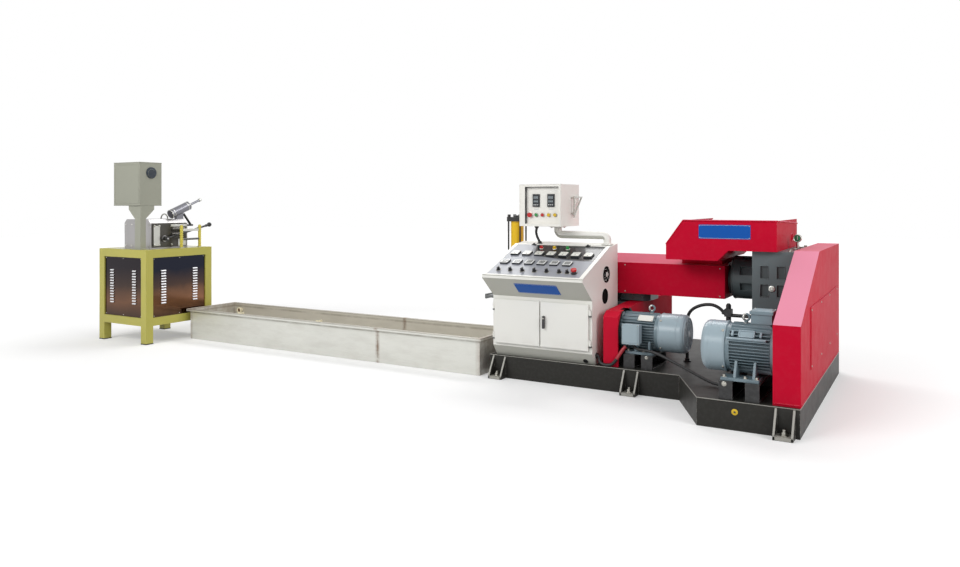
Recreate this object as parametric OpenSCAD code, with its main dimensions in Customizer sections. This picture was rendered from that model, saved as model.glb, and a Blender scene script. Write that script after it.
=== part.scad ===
// Two-stage plastic recycling line: extruder on a welded base, operating console, cooling trough, strand cutter
// Millimetres, +Z up, origin on the floor under the middle of the extruder base, +X along the line

/* [Base] */
// Length of the welded base along the line
base_len = 2600; // [2500:10:2800]
// Depth of the base from front to back
base_dep = 2250; // [2200:10:2500]
// Height of the base
base_h = 190; // [150:5:240]
// How far the front edge steps back beside the console
front_step = 600; // [560:10:640]
// Start of the slanted front edge, measured from the left end
slant_start = 1654; // [1600:10:1690]
// Length of the slanted front edge along the base
slant_len = 292; // [200:10:340]
// Width of an anchor bracket
bracket_w = 124; // [100:2:140]
// How far an anchor bracket stands out from the base
bracket_out = 90; // [80:1:100]
// Thickness of an anchor bracket gusset
gusset_t = 12; // [8:1:16]
// Thickness of the foot plate of an anchor bracket
foot_t = 22; // [16:1:30]
// Radius of an anchor bolt hole
anchor_r = 14; // [10:1:18]
// Distance of an anchor bolt hole from the base face
anchor_out = 45; // [40:1:50]
// Left anchor bracket from the left end
anchor_a = 95; // [85:1:110]
// Middle anchor bracket from the left end
anchor_b = 1273; // [1200:1:1320]
// Right anchor bracket from the left end
anchor_c = 2510; // [2440:1:2520]

/* [Barrel] */
// Height of the upper barrel axis above the floor
axis_z = 861; // [855:1:880]
// Barrel axis behind the middle of the base
axis_y = 260; // [255:1:300]
// Height of the upper barrel cover
cover_h = 278; // [240:2:282]
// Width of the upper barrel cover
cover_w = 440; // [380:2:450]
// Right end of the upper barrel cover
cover_x1 = 565; // [540:1:590]
// Length of the upper barrel cover
cover_len = 1465; // [1400:5:1520]
// Height of the lower barrel axis above the floor
low_z = 445; // [440:1:455]
// Height of the lower barrel cover
low_h = 280; // [240:2:290]
// Width of the lower barrel cover
low_w = 320; // [280:2:330]
// Length of the lower barrel cover
low_len = 680; // [660:5:700]
// Side of the square melt transfer block
transfer_w = 170; // [140:2:200]
// Rise of the sloped lid of the barrel cover from front to back
lid_rise = 52; // [40:1:56]
// Length of the barrel saddle on the lower gearbox
saddle_len = 180; // [150:2:200]
// Width of the barrel saddle
saddle_w = 300; // [280:2:320]
// Plate thickness of the barrel saddle
saddle_t = 16; // [12:1:20]

/* [Gearbox] */
// Length of the gearbox along the barrel
gear_len = 310; // [280:2:330]
// Width of the gearbox across the barrel
gear_w = 860; // [820:2:880]
// Top of the gearbox above the floor
gear_top = 1130; // [1124:1:1134]
// Height of the gearbox foot flange
gear_flange = 36; // [24:1:50]
// How far the gearbox foot flange stands out
gear_flange_out = 30; // [20:1:36]
// Depth of the square recesses in the gearbox face
recess_d = 16; // [8:1:24]
// Radius of the thrust housing
thrust_r = 176; // [168:1:178]
// How far the thrust housing lies above the barrel axis
thrust_up = 26; // [20:1:28]
// Length of the neck between the barrel cover and the thrust housing
neck_len = 36; // [36:1:44]
// Radius of the standing cooling pipe
pipe_r = 20; // [16:1:24]
// Top of the standing cooling pipe above the floor
pipe_top = 682; // [678:1:686]
// Length of the lower gearbox along the barrel
low_gear_len = 349; // [320:1:360]
// Length of the screen changer along the line
sc_len = 170; // [160:1:180]
// Rise of the screen changer above the lower barrel axis
sc_up = 190; // [180:1:200]
// Reach of the screen slide beyond the screen changer
slide_out = 246; // [230:1:260]
// Length of the hydraulic cylinder
cyl_len = 599; // [580:1:610]
// Radius of the hydraulic cylinder
cyl_r = 62; // [56:1:66]
// Half width of a hydraulic cylinder cap
cyl_cap = 74; // [68:1:80]
// Length of the die head along the line
die_w = 60; // [50:1:66]
// Reach of the die head over the trough
die_over = 40; // [30:1:50]
// Width of the lower gearbox
low_gear_w = 400; // [360:2:420]
// Top of the lower gearbox above the floor
low_gear_top = 640; // [620:2:680]

/* [Belt guards] */
// Thickness of the right belt guard
guard_t = 172; // [150:1:180]
// Top of the right belt guard above the floor
guard_top = 1143; // [1130:1:1170]
// Front edge height of the right belt guard above the floor
guard_front_z = 711; // [690:1:730]
// Length of the slanted top of the right belt guard
guard_slant = 901; // [860:1:940]
// Setback of the right belt guard from the base front
guard_back_in = 34; // [20:1:50]
// Access panel from the front of the right belt guard
access_in = 440; // [420:1:460]
// Access panel above the base
access_up = 168; // [150:1:190]
// Width of the access panel
access_w = 1580; // [1500:5:1620]
// Height of the access panel
access_h = 426; // [400:2:440]
// Thickness of the left belt guard
left_guard_t = 123; // [110:1:130]
// Left face of the left belt guard
left_guard_x = -271; // [-280:1:-262]
// Top of the left belt guard above the floor
left_guard_top = 649; // [630:1:670]
// Rear end of the left belt guard
left_guard_back = 979; // [940:1:1000]
// Setback of the left belt guard from the stepped front edge
left_guard_in = 34; // [30:1:44]
// Depth of the arched recess round the small motor
arch_d = 30; // [20:1:40]
// Gap of the arched recess round the small motor
arch_gap = 22; // [18:1:24]
// Edge bevel at the front of the left belt guard
left_guard_bevel = 62; // [50:1:70]

/* [Hopper] */
// Left end of the feed hopper
hop_x0 = 160; // [140:1:180]
// Length of the feed hopper
hop_len = 848; // [820:1:860]
// Depth of the feed hopper across the barrel
hop_dep = 970; // [940:1:1000]
// Front rim of the feed hopper above the floor
hop_top = 1364; // [1340:1:1390]
// Sheet thickness of the feed hopper
hop_t = 6; // [5:0.5:8]
// Length of the deep left part of the hopper floor
hop_deep = 409; // [390:1:430]
// Height of the left edge bevel of the hopper
hop_bevel_h = 195; // [180:1:205]
// Length of the left edge bevel of the hopper
hop_bevel_w = 139; // [120:1:150]
// How far the rear rim lies below the front rim
hop_back_drop = 40; // [30:1:60]
// Side of the square feed throat
throat_w = 300; // [260:2:320]

/* [Motors] */
// Radius of the large motor over its fins
big_r = 171; // [165:1:176]
// Shaft height of the large motor above its feet
big_h = 195; // [190:1:205]
// Height of the rails under the large motor
big_rail = 125; // [115:1:135]
// Left end of the large motor fan cover
big_x0 = 649; // [640:1:655]
// Length of the large motor fan cover
big_fan = 156; // [150:1:165]
// Distance of the large motor axis from the base front
big_in = 258; // [250:1:280]
// Radius of the small motor over its fins
small_r = 150; // [140:1:155]
// Shaft height of the small motor above its feet
small_h = 165; // [160:1:175]
// Height of the rails under the small motor
small_rail = 112; // [100:1:130]
// Right end of the small motor fan cover
small_x1 = 360; // [350:1:370]
// Length of the small motor fan cover
small_fan = 205; // [195:1:215]
// Small motor axis behind the stepped front edge
small_in = 232; // [225:1:260]
// Half width of the large motor rails
big_half = 239; // [232:1:244]
// Half width of the small motor rails
small_half = 184; // [178:1:190]
// Number of flat cooling fins above and below the motor axis
fin_n = 6; // [5:1:7]
// Spacing of the flat cooling fins
fin_pitch = 21; // [19:0.5:23]
// Thickness of a motor end shield
shield_t = 30; // [24:1:36]
// Width of a motor foot
foot_w = 74; // [66:1:80]
// Thickness of a cooling fin
fin_t = 5; // [4:0.5:6]
// Height of a cooling fin
fin_h = 26; // [20:1:30]

/* [Console] */
// Left side of the console
con_x0 = -1250; // [-1255:1:-1245]
// Width of the console
con_w = 910; // [900:2:930]
// Sheet thickness of the console
con_t = 6; // [4:0.5:8]
// Front plane of the console
con_front = -555; // [-565:1:-545]
// Rear plane of the console
con_back = 20; // [10:1:22]
// Underside of the console front above the base
con_front_z0 = 93; // [85:1:100]
// Run of the lower front bevel
con_bevel = 66; // [56:1:76]
// Top of the console front above the base
con_front_z1 = 520; // [510:1:530]
// How far the desk nose stands out
nose_out = 200; // [190:1:215]
// Height of the desk nose above the base
nose_z = 704; // [695:1:715]
// Height of the nose lip
nose_lip = 18; // [12:1:24]
// Rear edge of the sloped desk
desk_y1 = -140; // [-150:1:-130]
// Height of the rear edge of the sloped desk above the base
desk_z1 = 940; // [930:1:950]
// Rise of the console top from the desk to the rear
top_rise = 21; // [15:1:30]
// Thickness of the instrument panel
panel_t = 8; // [6:0.5:10]
// Margin of the instrument panel from the console sides
panel_in = 38; // [30:1:50]
// Thickness of a console door
door_t = 20; // [16:1:24]
// Running gap of the doors
door_gap = 5; // [5:0.5:6]
// Height of a console door
door_h = 372; // [360:1:380]
// Radius of a hinge knuckle
knuckle_r = 9; // [8:0.5:10]
// Radius of a hinge pin
pin_r = 4; // [3:0.5:5]
// Cabinet fan behind the console front
fan_back = 306; // [300:1:312]
// Cabinet fan above the console front
fan_up = 193; // [188:1:198]
// Radius of the lower hole in the console side
side_hole_r = 50; // [44:1:54]
// Spacing of the selector knobs
knob_pitch = 112; // [106:1:113]
// Emergency stop from the middle of the console
stop_in = 346; // [340:1:350]
// Side of a square panel meter
meter_w = 72; // [68:1:76]
// Spacing of the panel meters
meter_pitch = 114; // [104:1:118]
// Number of panel meters
meter_n = 7; // [6:1:7]
// Side of a square temperature controller
ctrl_w = 72; // [66:1:76]
// Number of temperature controllers
ctrl_n = 6; // [5:1:6]
// Spacing of the temperature controllers
ctrl_pitch = 116; // [108:1:124]

/* [Pendant] */
// Width of the pendant box
pend_w = 400; // [380:2:420]
// Height of the pendant box
pend_h = 368; // [350:2:380]
// Depth of the pendant box
pend_d = 390; // [360:2:400]
// Left side of the pendant box
pend_x0 = -1140; // [-1160:1:-1120]
// Front of the pendant box
pend_y0 = -280; // [-290:1:-270]
// Underside of the pendant box above the floor
pend_z0 = 1296; // [1290:1:1310]
// Depth of the pendant front recess
pend_recess = 28; // [20:1:34]
// Rim width round the pendant front
pend_rim = 22; // [16:1:30]
// Left margin of the pendant front recess
pend_left = 54; // [44:1:60]
// Radius of the pendant arm tube
arm_r = 34; // [30:1:38]
// Bend radius of the pendant arm
arm_bend = 42; // [38:1:46]
// Height of the pendant arm axis above the floor
arm_z = 1220; // [1214:1:1226]
// Distance of the arm post from the right side of the console
arm_in = 62; // [55:1:80]

/* [Trough] */
// Gap between the base and the rim of the cooling trough
tr_gap = 50; // [40:1:60]
// Length of the cooling trough
tr_len = 3712; // [3680:1:3740]
// Front of the cooling trough
tr_y0 = -570; // [-580:1:-560]
// Width of the cooling trough
tr_w = 620; // [600:1:640]
// Height of the cooling trough
tr_h = 328; // [318:1:334]
// Sheet thickness of the cooling trough
tr_t = 4; // [3:0.5:5]
// Width of the out-turned rim
rim_w = 30; // [26:1:34]
// Height of the folded rim lip
rim_h = 24; // [18:1:30]
// Radius of the overflow fitting
drain_r = 30; // [24:1:36]
// Length of the overflow fitting
drain_l = 24; // [16:1:30]
// Width of a strand clip
clip_w = 60; // [50:1:70]
// Reach of a strand clip below the rim
clip_h = 70; // [60:1:80]

/* [Strand cutter] */
// Gap between the trough rim and the cutter table
tab_gap = 34; // [26:1:44]
// Length of the cutter table along the line
tab_len = 800; // [780:2:820]
// Front of the cutter table
tab_y0 = -1090; // [-1100:1:-1080]
// Depth of the cutter table
tab_dep = 860; // [840:2:880]
// Height of the table frame
tab_h = 1000; // [980:1:1020]
// Side of a square frame member
bar_w = 86; // [76:1:92]
// Height of the lower rails above the floor
rail_z = 190; // [170:1:210]
// Thickness of the table top
top_t = 16; // [12:1:20]
// Setback of the side panels from the frame face
panel_set = 14; // [8:1:20]
// Thickness of the side panels
panel_sheet = 4; // [3:0.5:5]
// Width of a louvre
louvre_w = 80; // [70:1:90]
// Number of louvres in a column
louvre_n = 13; // [10:1:14]
// Spacing of the louvres
louvre_pitch = 29; // [27:1:31]
// Length of the cutter head along the line
head_len = 440; // [420:2:450]
// Width of the cutter head
head_w = 486; // [470:2:500]
// Height of the cutter head
head_h = 320; // [300:2:330]
// Radius of the press cylinder
roll_r = 50; // [46:1:54]
// Height of the control post
post_h = 470; // [450:2:490]
// Width of the control box along the line
box_w = 440; // [420:2:450]
// Depth of the control box
box_d = 270; // [250:2:280]
// Height of the control box
box_h = 470; // [450:2:490]
// Height of the strand guide posts
guide_h = 245; // [230:1:260]
// Length of the cutter lever
lever_len = 600; // [580:1:610]

/* [Hidden] */
$fn = 48;

// Clearance of fitted pieces
fit = 0.3;

// Base edges
bx0 = -base_len / 2;
bx1 = base_len / 2;
by0 = -base_dep / 2;
by1 = base_dep / 2;
by_step = by0 + front_step;

// Barrel covers
cover_x0 = cover_x1 - cover_len;
cover_z0 = axis_z - cover_h / 2;
cover_z1 = axis_z + cover_h / 2;
low_x1 = left_guard_x - low_gear_len;
low_x0 = low_x1 - low_len;
low_z0 = low_z - low_h / 2;
low_z1 = low_z + low_h / 2;

// Gearbox and right belt guard
guard_x0 = bx1 - guard_t;
gear_x0 = guard_x0 - gear_len;
gear_y0 = axis_y - gear_w / 2;
guard_y0 = by0 + guard_back_in;
guard_y1 = guard_y0 + guard_slant;
low_gear_y0 = axis_y - low_gear_w / 2;

// Standing cooling pipe
pipe_x = 603;
pipe_y = 0;

// Hopper
hop_x1 = hop_x0 + hop_len;
hop_y0 = axis_y - hop_dep / 2;
hop_y1 = axis_y + hop_dep / 2;
hop_low_z = cover_z1 + 48;
hop_high_z = gear_top;
hop_mid_x = hop_x0 + hop_deep;
hop_step_x = hop_mid_x + (hop_high_z - hop_low_z);
throat_x = hop_x0 + hop_deep / 2;

// Motors
big_y = by0 + big_in;
big_z = base_h + big_rail + big_h;
big_body_x0 = big_x0 + big_fan;
small_y = by_step + small_in;
small_z = base_h + small_rail + small_h;
left_guard_x1 = left_guard_x + left_guard_t;
left_guard_y = by_step + left_guard_in;
small_body_x1 = small_x1 - small_fan;
pad_h = 4;
big_feet = [big_body_x0 - 11, big_body_x0 + 161];
small_feet = [left_guard_x1 + 50, left_guard_x1 + 194];

// Console profile
con_x1 = con_x0 + con_w;
con_mid = con_x0 + con_w / 2;
cz0 = base_h + con_front_z0;
cz1 = base_h + con_front_z1;
nose_y = con_front - nose_out;
nz = base_h + nose_z;
dz = base_h + desk_z1;
tz = dz + top_rise;
desk_run = desk_y1 - nose_y;
desk_rise = dz - nz;
desk_len = sqrt(desk_run * desk_run + desk_rise * desk_rise);
desk_a = atan2(desk_rise, desk_run);
door_z0 = cz0 + (cz1 - cz0 - door_h) / 2;
door_y1 = con_front - door_gap;
door_y0 = door_y1 - door_t;
hinge_y = door_y1 - door_t / 2;
hinge_lx = con_x0 + knuckle_r + 3;
hinge_rx = con_x1 - knuckle_r - 3;
door_start = knuckle_r + door_gap;
desk_edge = 26;
panel_len = desk_len - 2 * desk_edge;

// Pendant
pend_x1 = pend_x0 + pend_w;
pend_y1 = pend_y0 + pend_d;
pend_cy = pend_y0 + pend_d / 2;
pend_foot_x = pend_x0 + pend_w * 0.68;
arm_x = con_x1 - arm_in;
arm_y = desk_y1 + 80;
arm_foot_z = dz + top_rise * 80 / (con_back - desk_y1);

// Trough
tr_x1 = bx0 - tr_gap - rim_w;
tr_x0 = tr_x1 - tr_len;
tr_y1 = tr_y0 + tr_w;

// Cutter table
tab_x1 = tr_x0 - rim_w - tab_gap;
tab_x0 = tab_x1 - tab_len;
tab_y1 = tab_y0 + tab_dep;
tab_top = tab_h;
head_x1 = tab_x1 - 170;
head_x0 = head_x1 - head_len;
head_y0 = tab_y0 + 176;
head_y1 = head_y0 + head_w;
guide_y0 = head_y0 + head_w * 0.664;
guide_y1 = head_y0 + head_w * 1.173;
post_x1 = tab_x1 - 132;
post_y0 = tab_y0 + 30;
post_w = 96;
post_d = 64;
lever_y = head_y0 + 173;
lever_z = tab_top + 108;
lever_x = head_x1 + 46;
lever_a = 13.6;

// Cord routes
pend_route = [[-1054, -110, 1296], [-1054, -110, 1276], [-1058, -114, 1240], [-1046, -118, 1200],
    [-1030, -108, 1160], [-1028, -100, 1148], [-1028, -100, 1137]];
hose_route = [[262, 30, 190], [262, 30, 240], [260, 28, 330], [260, 24, 430], [264, 16, 520], [282, 8, 588],
    [320, 2, 632], [372, 0, 660], [430, 0, 674], [486, 0, 672], [530, 0, 652], [556, 0, 630], [566, 0, 620],
    [575, 0, 620]];
cable_route = [[-340, -470, 262], [-326, -470, 262], [-310, -484, 244], [-292, -502, 218], [-264, -510, 206],
    [-230, -511, 204], [-192, -511, 214], [-160, -511, 246], [-132, -504, 292], [-104, -488, 338],
    [-84, -478, 364], [-80, -474, 380], [-80, -474, 393]];
link_route = [[-20, -474, 393], [-20, -474, 378], [-10, -482, 362], [22, -498, 352], [80, -508, 350],
    [150, -520, 344], [220, -534, 326], [300, -556, 300], [400, -592, 270], [500, -640, 242], [590, -692, 220],
    [660, -732, 208], [720, -758, 206], [766, -766, 206], [786, -766, 206]];

module prism_x(x0, len, pts) { translate([x0, 0, 0]) rotate([90, 0, 90]) linear_extrude(len) polygon(pts); }
module prism_y(y0, len, pts) { translate([0, y0 + len, 0]) rotate([90, 0, 0]) linear_extrude(len) polygon(pts); }
module rod_x(x0, len, y, z, r) { translate([x0, y, z]) rotate([0, 90, 0]) cylinder(h = len, r = r); }
module rod_y(y0, len, x, z, r) { translate([x, y0, z]) rotate([-90, 0, 0]) cylinder(h = len, r = r); }
module box(x0, x1, y0, y1, z0, z1) { translate([x0, y0, z0]) cube([x1 - x0, y1 - y0, z1 - z0]); }

// Tube swept along a list of points
function unit(v) = v / norm(v);
function heading(p, i) = unit(p[min(i + 1, len(p) - 1)] - p[max(i - 1, 0)]);
function side(t) = unit(cross(t, abs(t[2]) < 0.9 ? [0, 0, 1] : [0, 1, 0]));
function ring(p, t, r, n) = let (s = side(t), u = cross(s, t))
    [for (k = [0:n - 1]) p + r * cos(360 * k / n) * s + r * sin(360 * k / n) * u];
module tube(route, r, n = 8) {
    m = len(route);
    pts = [for (i = [0:m - 1]) each ring(route[i], heading(route, i), r, n)];
    skin = [for (i = [0:m - 2]) for (k = [0:n - 1]) for (h = [0, 1]) h == 0
        ? [i * n + k, (i + 1) * n + k, (i + 1) * n + (k + 1) % n]
        : [i * n + k, (i + 1) * n + (k + 1) % n, i * n + (k + 1) % n]];
    first = [for (k = [0:n - 1]) k];
    last = [for (k = [n - 1:-1:0]) (m - 1) * n + k];
    polyhedron(points = pts, faces = concat([first], skin, [last]));
}

// Welded base with gusseted anchor brackets on its front and rear
module anchor_bracket(x, y, dir) {
    out = y - dir * bracket_out;
    w = bracket_w / 2;
    difference() {
        union() {
            box(x - w, x + w, min(y + dir, out), max(y + dir, out), 0, foot_t);
            for (g = [x - w, x + w - gusset_t]) prism_x(g, gusset_t, [[y + dir, 0], [out, 0], [out, foot_t + 8],
                [y, base_h - 10], [y + dir, base_h - 10]]);
        }
        translate([x, y - dir * anchor_out, -1]) cylinder(h = foot_t + 2, r = anchor_r);
    }
}
module base_frame() {
    color([0.2, 0.2, 0.19]) {
        linear_extrude(base_h) polygon([[bx0, by_step], [bx0 + slant_start, by_step],
            [bx0 + slant_start + slant_len, by0], [bx1, by0], [bx1, by1], [bx0, by1]]);
        for (a = [anchor_a, anchor_b]) {
            anchor_bracket(bx0 + a, by_step, 1);
            anchor_bracket(bx0 + a, by1, -1);
        }
        anchor_bracket(bx0 + anchor_c, by0, 1);
        anchor_bracket(bx0 + anchor_c, by1, -1);
    }
}

// Upper barrel line
function cover_section() = [[axis_y - cover_w / 2, cover_z0], [axis_y + cover_w / 2, cover_z0],
    [axis_y + cover_w / 2, cover_z1 + lid_rise - 12], [axis_y - cover_w / 2, cover_z1 - 12]];
module barrel_cover() {
    color([0.7, 0.13, 0.2]) prism_x(cover_x0, cover_len, cover_section());
}
module barrel_stand() {
    x0 = (low_x1 + left_guard_x - saddle_len) / 2;
    y0 = axis_y - saddle_w / 2;
    color([0.12, 0.12, 0.13]) {
        box(x0, x0 + saddle_len, y0, y0 + saddle_w, low_gear_top, low_gear_top + saddle_t);
        box(x0, x0 + saddle_len, y0, y0 + saddle_w, cover_z0 - saddle_t, cover_z0);
        for (y = [y0 + 20, axis_y - saddle_t / 2, y0 + saddle_w - 20 - saddle_t])
            box(x0 + 10, x0 + saddle_len - 10, y, y + saddle_t, low_gear_top + saddle_t - 1, cover_z0 - saddle_t + 1);
    }
}
module cooling_pipe() {
    color([0.08, 0.08, 0.08]) {
        translate([pipe_x, pipe_y, base_h]) cylinder(h = pipe_top - base_h, r = pipe_r);
        translate([pipe_x, pipe_y, pipe_top - 1]) cylinder(h = 13, r1 = pipe_r, r2 = pipe_r - 10);
        translate([pipe_x, pipe_y, base_h]) cylinder(h = 12, r = pipe_r + 24);
        box(pipe_x - 28, pipe_x + 28, pipe_y - 28, pipe_y + 28, pipe_top - 92, pipe_top - 32);
        rod_x(pipe_x, gear_x0 - pipe_x, pipe_y, pipe_top - 82, pipe_r - 6);
    }
}
module thrust_housing() {
    len = gear_x0 - cover_x1;
    z = axis_z + thrust_up;
    color([0.3, 0.33, 0.34]) {
        rod_x(cover_x1, neck_len + 1, axis_y, axis_z, thrust_r - 62);
        difference() {
            rod_x(cover_x1 + neck_len, len - neck_len, axis_y, z, thrust_r);
            for (a = [-68, -22, 22, 68, 112, 158, 202, 248]) translate([cover_x1 + neck_len + 70, axis_y, z])
                rotate([a, 0, 0]) translate([0, -34, thrust_r - 30]) cube([len - neck_len - 110, 68, 40]);
        }
    }
}
module gearbox_housing() {
    y1 = axis_y + gear_w / 2;
    color([0.29, 0.33, 0.34]) difference() {
        union() {
            box(gear_x0, guard_x0, gear_y0, y1, base_h, gear_top);
            box(gear_x0 - gear_flange_out, guard_x0, gear_y0 - gear_flange_out, y1 + gear_flange_out,
                base_h, base_h + gear_flange);
        }
        for (f = [gear_y0 - 1, y1 - recess_d]) for (x = [0.2, 0.587]) for (z = [-77, 64])
            translate([gear_x0 + gear_len * x, f, axis_z + z]) cube([gear_len * 0.18, recess_d + 1, 92]);
    }
}
module gearbox_gauge() {
    x = gear_x0 + gear_len * 0.86;
    color([0.2, 0.55, 0.35]) {
        translate([x, axis_y, gear_top]) cylinder(h = 60, r = 12);
        rod_y(axis_y - 20, 34, x, gear_top + 88, 32);
    }
}

// Feed hopper with an open top, deep at its left end
function hop_outer() = [[hop_x0, hop_low_z], [hop_mid_x, hop_low_z], [hop_step_x, hop_high_z],
    [hop_x1, hop_high_z], [hop_x1, hop_top], [hop_x0 + hop_bevel_w, hop_top],
    [hop_x0, hop_top - hop_bevel_h]];
function hop_inner() = [[hop_x0 + hop_t, hop_low_z + hop_t], [hop_mid_x - hop_t * 0.4, hop_low_z + hop_t],
    [hop_step_x - hop_t * 0.4, hop_high_z + hop_t], [hop_x1 - hop_t, hop_high_z + hop_t],
    [hop_x1 - hop_t, hop_top + 1], [hop_x0 + hop_bevel_w + hop_t * 0.8, hop_top + 1],
    [hop_x0 + hop_t, hop_top - hop_bevel_h - hop_t * 0.3]];
module feed_hopper() {
    color([0.7, 0.13, 0.2]) difference() {
        prism_y(hop_y0, hop_dep, hop_outer());
        prism_y(hop_y0 + hop_t, hop_dep - 2 * hop_t, hop_inner());
        box(hop_x0 - 1, hop_x1 + 1, hop_y1 - hop_t - 1, hop_y1 + 1, hop_top - hop_back_drop, hop_top + 1);
        box(throat_x - throat_w / 2, throat_x + throat_w / 2, axis_y - throat_w / 2, axis_y + throat_w / 2,
            hop_low_z - 1, hop_low_z + hop_t + 1);
    }
}
module feed_throat() {
    o = throat_w / 2 + 14;
    i = throat_w / 2;
    color([0.14, 0.14, 0.15]) difference() {
        box(throat_x - o, throat_x + o, axis_y - o, axis_y + o, cover_z1 - 12, hop_low_z);
        box(throat_x - i, throat_x + i, axis_y - i, axis_y + i, cover_z0, hop_low_z + 1);
        prism_x(cover_x0, cover_len, cover_section());
    }
}

// Belt guards
module belt_guard_right() {
    color([0.7, 0.13, 0.2]) prism_x(guard_x0, guard_t, [[guard_y0, base_h], [guard_y0, guard_front_z],
        [guard_y1, guard_top], [by1, guard_top], [by1, base_h]]);
}
module guard_access_panel() {
    color([0.66, 0.12, 0.18]) translate([bx1, guard_y0 + access_in, base_h + access_up]) cube([5, access_w, access_h]);
}
module belt_guard_left() {
    b = left_guard_bevel;
    color([0.7, 0.13, 0.2]) difference() {
        prism_x(left_guard_x, left_guard_t, [[left_guard_y, base_h],
            [left_guard_y, left_guard_top - b], [left_guard_y + b, left_guard_top - b * 0.35],
            [left_guard_y + 8 * b, left_guard_top], [left_guard_back, left_guard_top],
            [left_guard_back, base_h]]);
        rod_x(left_guard_x1 - arch_d, arch_d + 1, small_y, small_z, small_r + arch_gap);
        box(left_guard_x1 - arch_d, left_guard_x1 + 1, small_y - small_r - arch_gap, small_y + small_r + arch_gap,
            base_h - 1, small_z);
    }
}

// Finned motor body with end shields, side fins lie flat and top fins stand
module fin_profile(r) {
    circle(r = r - fin_h);
    intersection() {
        circle(r = r);
        union() {
            for (k = [-fin_n:fin_n]) translate([-r, k * fin_pitch - fin_t / 2]) square([2 * r, fin_t]);
            for (k = [-3:3]) translate([k * fin_pitch * 1.5 - fin_t / 2, -r]) square([fin_t, 2 * r]);
        }
    }
}
module motor_body(x0, x1, y, z, r, h, feet, half, eye) {
    run = feet[1] + foot_w - feet[0];
    translate([x0 + shield_t, y, z]) rotate([90, 0, 90]) linear_extrude(x1 - x0 - 2 * shield_t) fin_profile(r);
    rod_x(x0, shield_t, y, z, r - 8);
    rod_x(x1 - shield_t, shield_t, y, z, r - 8);
    for (s = [-1, 1]) {
        in = y + s * r * 0.5;
        out = y + s * (half - 22);
        box(feet[0], feet[0] + run, min(in, out), max(in, out), z - h, z - h + 20);
        for (f = [0.36, 0.86]) prism_x(feet[0] + run * f - 8, 16, [[in, z - h + 10], [y + s * (half - 34), z - h + 10],
            [y + s * (half - 34), z - h + 24], [y + s * r * 0.92, z - r * 0.4], [in, z - r * 0.4]]);
    }
    translate([x0 + (x1 - x0) * eye, y, z + r - 12]) cylinder(h = 26, r = 13);
    translate([x0 + (x1 - x0) * eye, y, z + r + 36]) rotate([90, 0, 0]) rotate_extrude()
        translate([22, 0]) circle(r = 7);
}
// Fan cover with ring grooves in its grille, axis along the line, grille at the given end
module fan_cover(x0, len, y, z, r, right) {
    translate([right ? x0 : x0 + len, y, z]) rotate([0, right ? 90 : -90, 0]) rotate_extrude()
        polygon(concat([[0, 0], [r, 0], [r, len - 26], [r - 6, len - 10], [r - 20, len]],
            [for (k = [0:4]) each [[r - 28 - k * 22, len], [r - 28 - k * 22, len - 8],
                [r - 38 - k * 22, len - 8], [r - 38 - k * 22, len]]], [[0, len]]));
}
module motor_large_body() {
    x = big_body_x0 + 157;
    color([0.47, 0.55, 0.59]) {
        motor_body(big_body_x0, guard_x0, big_y, big_z, big_r, big_h, big_feet, big_half, 0.35);
        box(x + 10, x + 126, big_y - 60, big_y + 60, big_z + big_r - fin_h - 40, big_z + big_r + pad_h);
    }
}
module motor_large_fan_cover() {
    color([0.63, 0.7, 0.75]) fan_cover(big_x0, big_fan, big_y, big_z, big_r + 2, false);
}
module motor_large_terminal_box() {
    x = big_body_x0 + 157;
    color([0.55, 0.63, 0.68]) {
        box(x, x + 136, big_y - 70, big_y + 70, big_z + big_r + pad_h, big_z + big_r + 68);
        box(x - 8, x + 144, big_y - 78, big_y + 78, big_z + big_r + 68, big_z + big_r + 90);
    }
}
module motor_stand(feet, y, half, h) {
    for (x = feet) difference() {
        box(x - 8, x + foot_w + 8, y - half, y + half, base_h, base_h + h);
        box(x + 4, x + foot_w + 9, y - half + 14, y + half - 14, base_h + 12, base_h + h - 12);
    }
}
module motor_large_stand() {
    color([0.16, 0.16, 0.16]) motor_stand(big_feet, big_y, big_half, big_rail);
}
module motor_small_body() {
    x = left_guard_x1 + 52;
    color([0.47, 0.55, 0.59]) {
        motor_body(left_guard_x1 - arch_d, small_body_x1, small_y, small_z, small_r, small_h, small_feet,
            small_half, 0.74);
        box(x + 10, x + 120, small_y - small_r - pad_h, small_y - small_r + fin_h + 40, small_z - 60, small_z + 60);
    }
}
module motor_small_fan_cover() {
    color([0.63, 0.7, 0.75]) fan_cover(small_body_x1, small_fan, small_y, small_z, small_r + 2, true);
}
module motor_small_terminal_box() {
    y = small_y - small_r - pad_h;
    x = left_guard_x1 + 52;
    color([0.55, 0.63, 0.68]) {
        box(x, x + 130, y - 66, y, small_z - 74, small_z + 74);
        box(x - 6, x + 136, y - 82, y - 66, small_z - 80, small_z + 80);
    }
}
module motor_small_stand() {
    color([0.16, 0.16, 0.16]) motor_stand(small_feet, small_y, small_half, small_rail);
}

// Second stage behind the console
module lower_gearbox() {
    y1 = low_gear_y0 + low_gear_w;
    color([0.29, 0.33, 0.34]) {
        box(low_x1, left_guard_x, low_gear_y0, y1, base_h, low_gear_top);
        box(low_x1, left_guard_x, low_gear_y0 - 24, y1 + 24, base_h, base_h + 30);
    }
}
module lower_barrel_cover() {
    color([0.7, 0.13, 0.2]) {
        box(low_x0, low_x1, axis_y - low_w / 2, axis_y + low_w / 2, low_z0, low_z1);
        for (x = [low_x0 + 60, low_x1 - 180]) box(x, x + 60, axis_y - 90, axis_y + 90, base_h, low_z0);
    }
}
module melt_transfer_block() {
    x = low_x1 - 90 - transfer_w;
    color([0.24, 0.25, 0.26]) box(x, x + transfer_w, axis_y - transfer_w / 2, axis_y + transfer_w / 2,
        low_z1, cover_z0);
}
sc_x1 = low_x0 - 60;
sc_x0 = sc_x1 - sc_len;
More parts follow.
